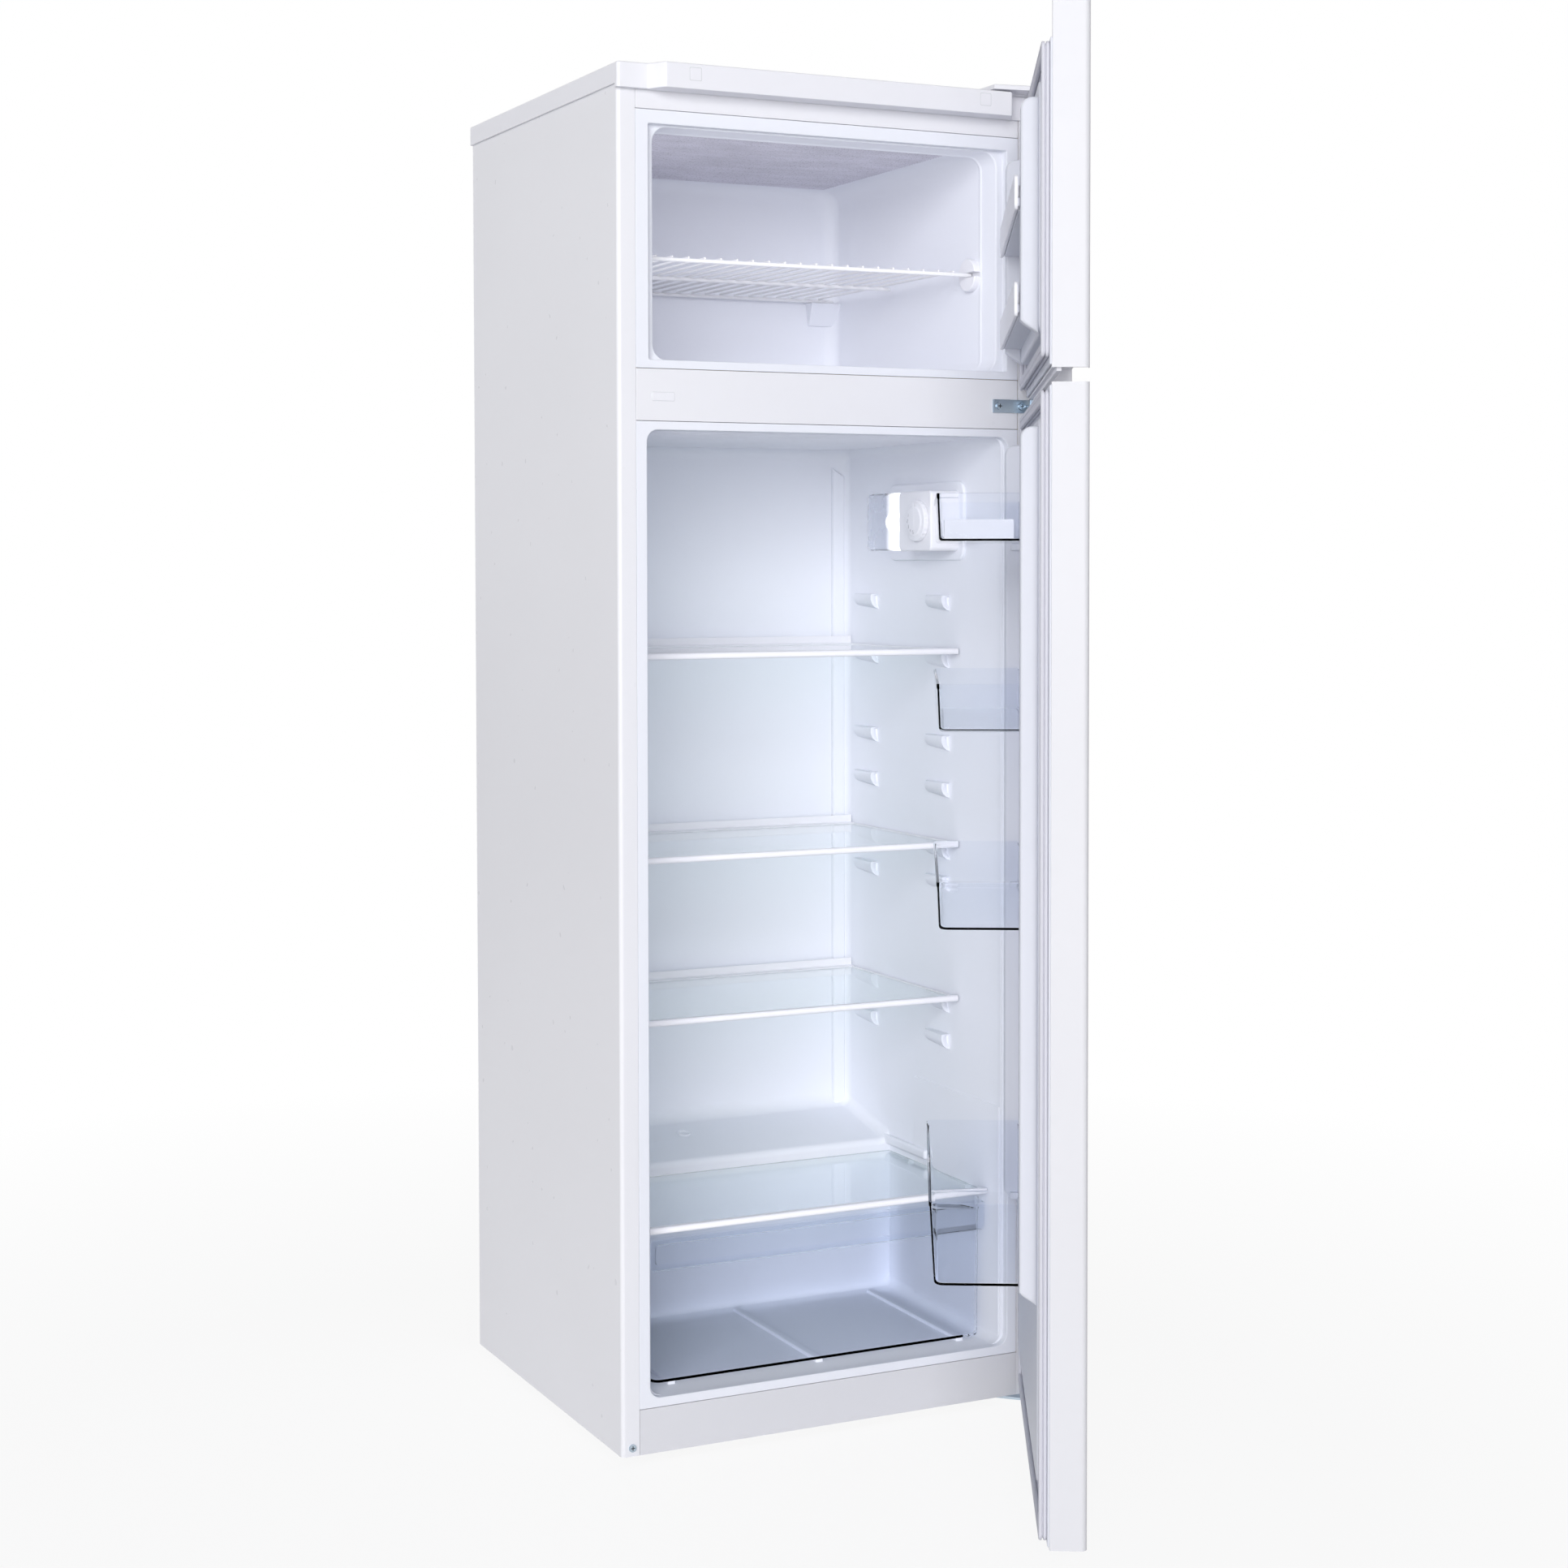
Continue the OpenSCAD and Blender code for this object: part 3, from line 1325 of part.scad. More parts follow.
module fridge_door_caps() {
    g = back_y - sheet_t;
    color("#ededf2") in_row_frame() on_door() difference() {
        union() {
            along_z(low_z1 - cap_h, low_z1) polygon(core_plan(g));
            along_z(low_z0, low_z0 + cap_h) polygon(core_plan(g));
        }
        grip_room(low_z1 - grip_h, low_z1 + 1);
        rod_z(axis_x, axis_y, pin_r + run_gap, low_z1 - pin_l - 0.5, low_z1 + 1);
        rod_z(axis_x, axis_y, pin_r + run_gap, low_z0 - 1, low_z0 + pin_l + 0.5);
    }
}

module fridge_door_foam() {
    color("#e8d9a0") in_row_frame() on_door()
        along_z(low_z0 + cap_h, low_z1 - cap_h) polygon(core_plan(back_y - sheet_t));
}

// pegs on the ribs' inner sides, under the ends of a balcony
module pegs(z) {
    for (x = [dike_x0 + dike_w - 1, dike_x1 - dike_w - peg_w + 1])
        block([x, panel_y - liner_t / 2, z - snug - peg_h],
              [x + peg_w, panel_y + 12, z - snug]);
}

module fridge_door_liner() {
    color("#f3f3f8") in_row_frame() on_door() {
        door_liner([low_z0 + 3, low_z1 - 3], [dike_x0, dike_x1],
                   [z_fr0 + 4, z_fr1 - 3.5], [dike_x0, dike_x1],
                   [low_dike_z0, low_dike_z1]);
        for (i = [0:2])
            pegs(balcony_z(i));
        pegs(bottle_z);
    }
}

module fridge_door_gasket() {
    color("#e6e6ee") in_row_frame() on_door() gasket(low_gasket);
}

// an open tray that hangs between the ribs
module tray(z, h, y1, lean) {
    y0 = panel_y + snug;
    t = balcony_t;
    difference() {
        along_x(balcony_x0, balcony_x1)
            polygon([[y0, z], [y1 - lean, z], [y1, z + h], [y0, z + h]]);
        along_x(balcony_x0 + t, balcony_x1 - t)
            polygon([[y0 + t, z + t], [y1 - lean - t, z + t], [y1 - t, z + h + 1],
                     [y0 + t, z + h + 1]]);
    }
}

module door_balconies() {
    color(clear) in_row_frame() on_door()
        for (i = [0:2]) tray(balcony_z(i), balcony_h, balcony_y, 2);
}

module bottle_shelf() {
    color(clear) in_row_frame() on_door() tray(bottle_z, bottle_h, bottle_y, 5);
}

module egg_tray() {
    z = balcony_z(0) + balcony_t + snug;
    x0 = balcony_x0 + balcony_t + 2;
    cups = 6;
    pitch = 45;
    y0 = panel_y + 24;
    y1 = balcony_y - balcony_t - 6;
    h = 20;
    color(white) in_row_frame() on_door() difference() {
        block([x0, y0, z], [x0 + cups * pitch + 4, y1, z + h]);
        block([x0 + 1.6, y0 + 1.6, z - 1], [x0 + cups * pitch + 2.4, y1 - 1.6, z + h - 1.6]);
        for (i = [0:cups - 1])
            rod_z(x0 + 2 + (i + 0.5) * pitch, (y0 + y1) / 2, 18.5, z, z + h + 1);
    }
}

outer_shell();
back_panel();
base_pan();
compressor_rail();
cabinet_foam();
freezer_liner();
fridge_liner();
cross_rails();
plinth();
worktop();
blanking_plugs();
top_hinge();
hinge_cover();
middle_hinge();
bottom_hinge();
cabinet_screws();
front_foot_left();
front_foot_right();
rear_rollers();
compressor();
compressor_mounts();
terminal_box();
condenser();
condenser_brackets();
refrigerant_pipes();
filter_drier();
evaporating_tray();
drain_tube();
evaporators();
thermostat_housing();
thermostat();
thermostat_knob();
lamp_holder();
lamp_bulb();
lamp_cover();
light_switch_button();
shelf_glass_1();
shelf_trim_1();
shelf_glass_2();
shelf_trim_2();
shelf_glass_3();
shelf_trim_3();
crisper_cover();
crisper_cover_trim();
crisper_drawer();
freezer_wire_shelf();
freezer_door_skin();
freezer_door_caps();
freezer_door_foam();
freezer_door_liner();
freezer_door_gasket();
freezer_door_rails();
fridge_door_skin();
fridge_door_caps();
fridge_door_foam();
fridge_door_liner();
fridge_door_gasket();
door_balconies();
bottle_shelf();
egg_tray();
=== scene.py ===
import json
import math

import bmesh
import bpy
from mathutils import Matrix, Vector


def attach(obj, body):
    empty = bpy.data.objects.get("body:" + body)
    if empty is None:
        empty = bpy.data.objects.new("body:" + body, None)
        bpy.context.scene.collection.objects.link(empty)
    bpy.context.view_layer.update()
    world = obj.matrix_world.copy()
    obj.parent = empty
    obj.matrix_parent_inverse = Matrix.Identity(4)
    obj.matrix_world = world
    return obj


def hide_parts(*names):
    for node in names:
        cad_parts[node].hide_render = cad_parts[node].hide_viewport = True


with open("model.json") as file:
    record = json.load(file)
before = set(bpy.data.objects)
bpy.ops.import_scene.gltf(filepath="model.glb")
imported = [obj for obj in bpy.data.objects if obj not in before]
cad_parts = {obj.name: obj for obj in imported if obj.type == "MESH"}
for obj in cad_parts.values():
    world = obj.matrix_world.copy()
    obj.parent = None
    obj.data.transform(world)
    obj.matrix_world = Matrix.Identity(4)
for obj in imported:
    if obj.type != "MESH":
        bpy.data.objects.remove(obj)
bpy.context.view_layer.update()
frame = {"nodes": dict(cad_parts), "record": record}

# ---------------------------------------------------------------- sizes, in mm
# The cabinet's own frame: x from the left side, y back from the front face, z up from
# the floor. The row frame starts at the left front foot.
FOOT_X, FOOT_Y = 72.0, 40.0
CAB_W, CAB_D = 550.0, 493.0
MID_X = CAB_W / 2
SHEET = 1.0  # steel of the cabinet and the doors
FLANGE, SEAM = 22.0, 0.5
IN_X0, IN_X1 = FLANGE + SEAM, CAB_W - FLANGE - SEAM  # rails and liners between the flanges

# Heights, from the cabinet's underside to the top of the worktop
Z_BODY, Z_PLINTH = 8.0, 61.0
Z_FR0, Z_FR1 = 72.0, 1192.0
Z_MID0, Z_MID1 = 1202.0, 1262.0
Z_FZ0, Z_FZ1 = 1272.0, 1538.0
Z_RIM1, Z_TOP, Z_WORK = 1556.0, 1582.0, 1606.0

# Compartments
FR_X0, FR_X1 = 40.0, 510.0
FZ_X0, FZ_X1 = 48.0, 502.0
SHELF_SEATS = (924.3, 679.8, 483.8)
SPARE_SEATS = (437, 638.8, 759, 819.1, 997.5)
WIRE_Z = 1394.9
GLASS_X0, GLASS_X1 = 45, 505
TRIM_X0, TRIM_X1 = 43.5, 506.5

# Temperature dial and lamp housing on the right wall
DIAL_Y, DIAL_Z = 138, 1092
SWITCH_Z = 1080

# Doors
AXIS_X, AXIS_Y, DOOR_OPEN = 541.0, -20.0, 61.3
SKIN_Y, BACK_Y = -49.7, -11.0
CORE_Y = BACK_Y - SHEET
CORNER = 6  # radius of a door's two front edges
LOW_Z0, LOW_Z1 = 22.0, 1222.7
UP_Z0, UP_Z1, UP_CORE1 = 1237.3, 1608.0, 1570.0
CAP_H = 24
GRIP_X0, GRIP_X1, GRIP_Y, GRIP_H = 14, 304, -21.7, 20
BALCONIES, BOTTLE_Z = (1062.1, 862.7, 654.1), 277.3
TRAY_X0, TRAY_X1, TRAY_Y0 = 66.3, 483.7, 0.7
GUARDS = (1300, 1410)


def row(x, y, z):
    """A point of the cabinet's frame, in mm, as a point of the row frame, in metres."""
    return Vector(((x - FOOT_X) / 1000, (y - FOOT_Y) / 1000, z / 1000))


def swing(x, y):
    """A point of a closed door, turned with the door to where it stands open."""
    a = math.radians(DOOR_OPEN)
    dx, dy = x - AXIS_X, y - AXIS_Y
    return (
        AXIS_X + dx * math.cos(a) - dy * math.sin(a),
        AXIS_Y + dx * math.sin(a) + dy * math.cos(a),
    )


# ---------------------------------------------------------------- camera
def place_camera():
    """The photograph's camera: angles in radians, focal length in mm."""
    yaw, pitch, roll = 0.451856, -0.036679, -0.001598
    level = math.cos(pitch)
    ahead = Vector((math.sin(yaw) * level, math.cos(yaw) * level, math.sin(pitch)))
    right = Vector((math.cos(yaw), -math.sin(yaw), 0))
    up = right.cross(ahead)
    side = right * math.cos(roll) + up * math.sin(roll)
    top = up * math.cos(roll) - right * math.sin(roll)
    data = bpy.data.cameras.new("camera")
    data.lens = 60.12
    data.sensor_width = 36.0
    data.shift_y = -0.08
    data.clip_start, data.clip_end = 0.05, 60
    ob = bpy.data.objects.new("camera", data)
    bpy.context.scene.collection.objects.link(ob)
    place = Matrix((side, top, -ahead)).transposed().to_4x4()
    place.translation = row(-1133.3, -2765.9, 1039.9)
    ob.matrix_world = place
    bpy.context.scene.camera = ob


place_camera()


# ---------------------------------------------------------------- materials
def srgb(r, g, b):
    """A colour of 0 to 255 on screen, as the linear colour of a shader."""
    return tuple(
        c / 12.92 if c <= 0.04045 else ((c + 0.055) / 1.055) ** 2.4
        for c in (r / 255, g / 255, b / 255)
    )


class Nodes:
    """A material's node tree, with short calls for the nodes used here."""

    def __init__(self, name):
        self.mat = bpy.data.materials.new(name)
        self.mat.use_nodes = True
        self.tree = self.mat.node_tree
        self.shader = self.tree.nodes["Principled BSDF"]
        self.out = self.tree.nodes["Material Output"]
        self.place = self.add("ShaderNodeTexCoord").outputs["Object"]

    def add(self, kind, **values):
        node = self.tree.nodes.new(kind)
        for key, value in values.items():
            setattr(node, key, value)
        return node

    def link(self, a, b):
        self.tree.links.new(a, b)

    def noise(self, scale, detail=2.0, rough=0.5, stretch=None):
        node = self.add("ShaderNodeTexNoise")
        node.inputs["Scale"].default_value = scale
        node.inputs["Detail"].default_value = detail
        node.inputs["Roughness"].default_value = rough
        self.link(self.scaled(stretch), node.inputs["Vector"])
        return node.outputs["Fac"]

    def scaled(self, stretch):
        if stretch is None:
            return self.place
        node = self.add("ShaderNodeMapping")
        node.inputs["Scale"].default_value = stretch
        self.link(self.place, node.inputs["Vector"])
        return node.outputs["Vector"]

    def ramp(self, value, stops):
        node = self.add("ShaderNodeValToRGB")
        points = node.color_ramp.elements
        while len(points) < len(stops):
            points.new(0.5)
        for point, (at, colour) in zip(points, stops):
            point.position = at
            point.color = (*colour, 1)
        self.link(value, node.inputs["Fac"])
        return node.outputs["Color"]

    def span(self, value, low, high, old_low=0.3, old_high=0.7):
        node = self.add("ShaderNodeMapRange")
        node.inputs["From Min"].default_value = old_low
        node.inputs["From Max"].default_value = old_high
        node.inputs["To Min"].default_value = low
        node.inputs["To Max"].default_value = high
        self.link(value, node.inputs["Value"])
        return node.outputs["Result"]

    def bump(self, height, distance, strength=1.0, under=None):
        node = self.add("ShaderNodeBump")
        node.inputs["Strength"].default_value = strength
        node.inputs["Distance"].default_value = distance
        self.link(height, node.inputs["Height"])
        if under is not None:
            self.link(under, node.inputs["Normal"])
        return node.outputs["Normal"]

    def feed(self, socket, value):
        self.link(value, self.shader.inputs[socket])

    def fix(self, socket, value):
        self.shader.inputs[socket].default_value = value


def shade(colour, by):
    """A colour made darker or lighter."""
    return tuple(min(1.0, c * by) for c in colour)


def painted(name, colour, rough, spread=0.05, grain=900, depth=0.00002, shine=0.2):
    """Moulded or painted surface: faint colour drift, uneven gloss and a fine grain."""
    n = Nodes(name)
    n.feed(
        "Base Color",
        n.ramp(
            n.noise(4.0, 1.0), [(0.0, shade(colour, 0.985)), (1.0, shade(colour, 1.015))]
        ),
    )
    gloss = n.noise(70.0, 1.0)
    n.feed("Roughness", n.span(gloss, rough - spread, rough + spread, 0.0, 1.0))
    n.feed("Normal", n.bump(n.noise(grain, 2.0), depth, 0.6))
    n.fix("Specular IOR Level", shine)
    return n.mat


def metal(name, colour, rough, stretch, streak):
    """Bare metal: cloudy tone and fine lines that break its gloss."""
    n = Nodes(name)
    lines = n.noise(streak, 4.0, 0.6, stretch)
    cloud = n.noise(30.0, 4.0)
    n.feed(
        "Base Color",
        n.ramp(
            cloud,
            [(0.3, shade(colour, 0.86)), (0.55, colour), (0.75, shade(colour, 1.12))],
        ),
    )
    n.fix("Metallic", 1.0)
    n.feed("Roughness", n.span(lines, rough - 0.08, rough + 0.12))
    n.feed("Normal", n.bump(lines, 0.00002, 0.5))
    return n.mat


def lets_light(n, tint):
    """Lets rays from the lamps through, as clear plastic and glass do."""
    path = n.add("ShaderNodeLightPath")
    through = n.add("ShaderNodeBsdfTransparent")
    through.inputs["Color"].default_value = (*tint, 1)
    last = n.shader.outputs["BSDF"]
    for ray in ("Is Shadow Ray", "Is Diffuse Ray"):
        mix = n.add("ShaderNodeMixShader")
        n.link(path.outputs[ray], mix.inputs["Fac"])
        n.link(last, mix.inputs[1])
        n.link(through.outputs["BSDF"], mix.inputs[2])
        last = mix.outputs["Shader"]
    n.link(last, n.out.inputs["Surface"])


def clear(
    name, colour, rough, ior, tint, grain=60, depth=0.00002, spread=0.01, lit=None
):
    """Glass or clear plastic; a lit one has a painted glow where it covers the bulb."""
    n = Nodes(name)
    n.feed(
        "Base Color",
        n.ramp(n.noise(9.0), [(0.35, shade(colour, 0.985)), (0.65, colour)]),
    )
    n.fix("Transmission Weight", 1.0)
    n.fix("IOR", ior)
    n.feed(
        "Roughness", n.span(n.noise(25.0, 3.0), max(rough - spread, 0.0), rough + spread)
    )
    n.feed("Normal", n.bump(n.noise(grain, 2.0), depth, 0.35))
    if lit:
        lit_cover(n, *lit)
    lets_light(n, tint)
    return n.mat


def lit_cover(n, y0, y1, strength):
    """Paints a glow on the part of a cover between y0 and y1, in mm, that lies over the bulb,
    standing in for the bulb's light through it.
    """
    place = n.add("ShaderNodeSeparateXYZ")
    n.link(n.place, place.inputs[0])
    low, high = ((y - FOOT_Y) / 1000 for y in (y0, y1))
    rise = n.span(place.outputs["Y"], 0.0, 1.0, low - 0.002, low + 0.001)
    fall = n.span(place.outputs["Y"], 1.0, 0.0, high - 0.012, high + 0.012)
    both = n.add("ShaderNodeMath", operation="MULTIPLY")
    n.link(rise, both.inputs[0])
    n.link(fall, both.inputs[1])
    glow = n.add("ShaderNodeMath", operation="MULTIPLY")
    n.link(both.outputs[0], glow.inputs[0])
    glow.inputs[1].default_value = strength
    n.feed("Emission Strength", glow.outputs[0])
    n.fix("Emission Color", (1.0, 1.0, 1.0, 1))


def glowing(name, colour, strength):
    """Opal glass that is lit from inside."""
    n = Nodes(name)
    n.feed(
        "Base Color", n.ramp(n.noise(40.0), [(0.3, shade(colour, 0.96)), (0.7, colour)])
    )
    n.feed("Roughness", n.span(n.noise(60.0), 0.25, 0.4))
    n.fix("Emission Color", (*colour, 1))
    n.fix("Emission Strength", strength)
    return n.mat


def frosted(name, colour):
    """Thin rime on the freezer's ceiling: pale patches and bright grains."""
    n = Nodes(name)
    cloud = n.noise(38.0, 5.0, 0.6, (0.35, 1.0, 1.0))
    n.feed(
        "Base Color",
        n.ramp(
            cloud,
            [(0.3, shade(colour, 0.86)), (0.55, colour), (0.78, shade(colour, 1.14))],
        ),
    )
    grains = n.noise(420.0, 2.0, 0.7)
    n.feed("Roughness", n.span(grains, 0.15, 0.6, 0.35, 0.65))
    n.feed("Normal", n.bump(grains, 0.0006, 0.8, n.bump(cloud, 0.0012, 0.5)))
    return n.mat


# Painted and moulded ones: colour, roughness, its spread, grain, its depth in m, shine
PAINTS = {
    "white_steel": (srgb(236, 236, 241), 0.30, 0.05, 700, 0.00003),
    "white_plastic": (srgb(237, 237, 243), 0.36, 0.05, 1400, 0.000015),
    "liner_plastic": (srgb(238, 240, 248), 0.42, 0.06, 1100, 0.00002, 0.08),
    "foam": (srgb(224, 205, 150), 0.9, 0.05, 500, 0.0004),
    "dark_paint": ((0.018, 0.018, 0.020), 0.42, 0.08, 900, 0.00004),
    "black_plastic": ((0.022, 0.022, 0.025), 0.48, 0.08, 1500, 0.00003),
    "rubber": ((0.02, 0.02, 0.02), 0.75, 0.08, 1200, 0.00005),
    "gasket": (srgb(210, 210, 219), 0.6, 0.06, 1600, 0.00002, 0.05),
    "ceramic": (srgb(238, 236, 228), 0.25, 0.05, 900, 0.00002),
    "tray_plastic": (srgb(214, 216, 220), 0.5, 0.06, 1200, 0.00003),
    "mark_ink": (srgb(120, 120, 128), 0.6, 0.05, 900, 0.00001),
    # a darker copy of liner_plastic: painted shade on the door liners
    "door_liner_painted_shade": (srgb(217, 219, 228), 0.42, 0.06, 1100, 0.00002, 0.08),
    # a darker copy of white_steel: painted shade on the doors' sheets and the plinth
    "steel_painted_shade": (srgb(221, 221, 226), 0.4, 0.05, 700, 0.00003),
    # a darker copy of white_plastic: painted shade on the egg tray inside the clear balcony
    "egg_tray_painted_shade": (srgb(214, 215, 222), 0.36, 0.05, 1400, 0.00002),
    "white_wire": (srgb(236, 236, 240), 0.38, 0.06, 1300, 0.00002),
}
# Metals: colour, roughness, stretch of the lines, their fineness
METALS = {
    "galvanised": ((0.60, 0.62, 0.65), 0.42, (1, 1, 1), 90),
    "zinc": ((0.46, 0.54, 0.62), 0.34, (1, 6, 6), 180),
    "copper": ((0.72, 0.36, 0.20), 0.30, (1, 1, 1), 120),
    "evaporator": ((0.72, 0.74, 0.77), 0.38, (1, 8, 1), 160),
}
# Clear ones: colour, roughness, index, tint of the light let through, and the lamp
# cover's grain, its depth, the roughness's spread and where its painted glow lies
CLEARS = {
    "glass": ((0.93, 0.965, 0.96), 0.01, 1.5, (0.90, 0.94, 0.93)),
    "clear_plastic": ((0.955, 0.968, 0.99), 0.02, 1.05, (0.95, 0.96, 0.985)),
    "lamp_diffuser": (
        (0.95, 0.96, 0.98), 0.28, 1.12, (0.95, 0.95, 0.97), 300, 0.00008, 0.05,
        (196, 220, 0.7),
    ),
}
M = {name: painted(name, *look) for name, look in PAINTS.items()}
M.update((name, metal(name, *look)) for name, look in METALS.items())
M.update((name, clear(name, *look)) for name, look in CLEARS.items())
M["bulb"] = glowing("bulb", (1.0, 0.98, 0.94), 2.2)
M["frost"] = frosted("frost", srgb(214, 212, 224))

for part in frame["record"]["subparts"]:
    node = frame["nodes"][part["node"]]
    node.data.materials.clear()
    node.data.materials.append(M[part["material_slot"]])
# the egg tray in the darker copy of the white plastic: painted shade
frame["nodes"]["egg_tray"].data.materials[0] = M["egg_tray_painted_shade"]

# Plain made parts keep their own mesh, with their edges eased.
EASED = (
    "back_panel", "base_pan", "compressor_rail", "top_hinge", "middle_hinge",
    "bottom_hinge", "cabinet_screws", "condenser_brackets", "compressor_mounts",
    "terminal_box", "evaporating_tray", "thermostat", "lamp_holder", "egg_tray",
    "rear_rollers",
)
for name in EASED:
    eased = frame["nodes"][name].modifiers.new("eased", "BEVEL")
    eased.width, eased.segments = 0.0004, 2
    eased.limit_method, eased.angle_limit = "ANGLE", math.radians(40)


# ---------------------------------------------------------------- stage and lights
def seen_rays(tree):
    """1 for what the camera, mirrors and glass see, and 0 for the rays that light."""
    path = tree.nodes.new("ShaderNodeLightPath")
    seen = path.outputs["Is Camera Ray"]
    for ray in ("Is Glossy Ray", "Is Transmission Ray"):
        either = tree.nodes.new("ShaderNodeMath")
        either.operation = "MAXIMUM"
        tree.links.new(seen, either.inputs[0])
        tree.links.new(path.outputs[ray], either.inputs[1])
        seen = either.outputs[0]
    return seen


def whiten_for_camera(n, shader, near, far):
    """What the camera, mirrors and glass see is lifted towards white, and wholly so
    away from the object; near it the shadows stay."""
    away = n.add("ShaderNodeVectorMath", operation="LENGTH")
    n.link(n.place, away.inputs[0])
    share = n.add("ShaderNodeMath", operation="MULTIPLY")
    n.link(seen_rays(n.tree), share.inputs[0])
    n.link(n.span(away.outputs["Value"], near, far, 0.8, 2.2), share.inputs[1])
    glow = n.add("ShaderNodeEmission")
    glow.inputs["Strength"].default_value = 1.0
    mix = n.add("ShaderNodeMixShader")
    n.link(share.outputs[0], mix.inputs["Fac"])
    n.link(shader, mix.inputs[1])
    n.link(glow.outputs["Emission"], mix.inputs[2])
    n.link(mix.outputs["Shader"], n.out.inputs["Surface"])


def make_floor():
    """Pale floor, far larger than the object."""
    n = Nodes("floor")
    greys = [(0.0, (0.70, 0.70, 0.71)), (1.0, (0.74, 0.74, 0.75))]
    n.feed("Base Color", n.ramp(n.noise(1.5), greys))
    n.fix("Roughness", 0.8)
    whiten_for_camera(n, n.shader.outputs["BSDF"], 0.9, 1.0)
    bm = bmesh.new()
    bmesh.ops.create_grid(bm, x_segments=8, y_segments=8, size=14)
    mesh = bpy.data.meshes.new("floor")
    bm.to_mesh(mesh)
    bm.free()
    mesh.materials.append(n.mat)
    ob = bpy.data.objects.new("floor", mesh)
    bpy.context.scene.collection.objects.link(ob)


def make_world(strength):
    """Soft light from all round, which the camera, mirrors and glass see as white."""
    world = bpy.data.worlds.new("world")
    bpy.context.scene.world = world
    world.use_nodes = True
    tree = world.node_tree
    back = tree.nodes["Background"]
    back.inputs["Color"].default_value = (0.97, 0.98, 1.0, 1)
    back.inputs["Strength"].default_value = strength
    white = tree.nodes.new("ShaderNodeBackground")
    white.inputs["Color"].default_value = (1, 1, 1, 1)
    white.inputs["Strength"].default_value = 1.0
    mix = tree.nodes.new("ShaderNodeMixShader")
    tree.links.new(seen_rays(tree), mix.inputs["Fac"])
    tree.links.new(back.outputs["Background"], mix.inputs[1])
    tree.links.new(white.outputs["Background"], mix.inputs[2])
    tree.links.new(mix.outputs["Shader"], tree.nodes["World Output"].inputs["Surface"])


def soft_lamp(name, at, aim, width, height, power, shines_back=True):
    """A flat lamp at one point that faces another; sizes in m, power in W. Glossy
    surfaces reflect it unless shines_back is off."""
    data = bpy.data.lights.new(name, "AREA")
    data.shape = "RECTANGLE"
    data.size, data.size_y = width, height
    data.energy = power
    ob = bpy.data.objects.new(name, data)
    bpy.context.scene.collection.objects.link(ob)
    ob.location = at
    ob.rotation_euler = (Vector(aim) - Vector(at)).to_track_quat("-Z", "Y").to_euler()
    ob.visible_camera = False
    ob.visible_glossy = shines_back


# ---------------------------------------------------------------- shapes
def arc(cx, cy, r, a0, a1, n=6):
    """Points of an arc from angle a0 to a1, in degrees."""
    angles = [math.radians(a0 + (a1 - a0) * i / n) for i in range(n + 1)]
    return [(cx + r * math.cos(w), cy + r * math.sin(w)) for w in angles]


def rrect(x0, x1, y0, y1, r, n=6):
    """Rounded rectangle; r is one radius, or four from the lower right corner on round."""
    a, b, c, d = r if isinstance(r, tuple) else (r,) * 4
    return (
        arc(x1 - a, y0 + a, a, -90, 0, n)
        + arc(x1 - b, y1 - b, b, 0, 90, n)
        + arc(x0 + c, y1 - c, c, 90, 180, n)
        + arc(x0 + d, y0 + d, d, 180, 270, n)
    )


def inset(loop, d):
    """An outline that runs anticlockwise, moved inwards by d."""
    out = []
    for i, (bx, by) in enumerate(loop):
        ax, ay = loop[i - 1]
        cx, cy = loop[(i + 1) % len(loop)]
        lu, lv = math.hypot(bx - ax, by - ay), math.hypot(cx - bx, cy - by)
        nx = -(by - ay) / lu - (cy - by) / lv
        ny = (bx - ax) / lu + (cx - bx) / lv
        k = 2 * d / (nx * nx + ny * ny)
        out.append((bx + nx * k, by + ny * k))
    return out


def mirrored(outline):
    """An outline's twin on the other side of the cabinet, still anticlockwise."""
    return [(CAB_W - x, y) for x, y in reversed(outline)]


def at_x(loop, x):
    return [(x, a, b) for a, b in loop]


def at_y(loop, y):
    return [(a, y, b) for a, b in loop]


def at_z(loop, z):
    return [(a, b, z) for a, b in loop]


def quarter(n):
    """Pairs that run 0, 0 to 1, 1 along a quarter of a circle: how far in, how far on."""
    return [
        (1 - math.cos(math.pi / 2 * i / n), math.sin(math.pi / 2 * i / n))
        for i in range(n + 1)
    ]


def s_curve(x0, y0, x1, y1, n=12):
    """A curve that leaves and meets its ends level."""
    return [
        (x0 + (x1 - x0) * i / n, y0 + (y1 - y0) * (1 - math.cos(math.pi * i / n)) / 2)
        for i in range(n + 1)
    ]


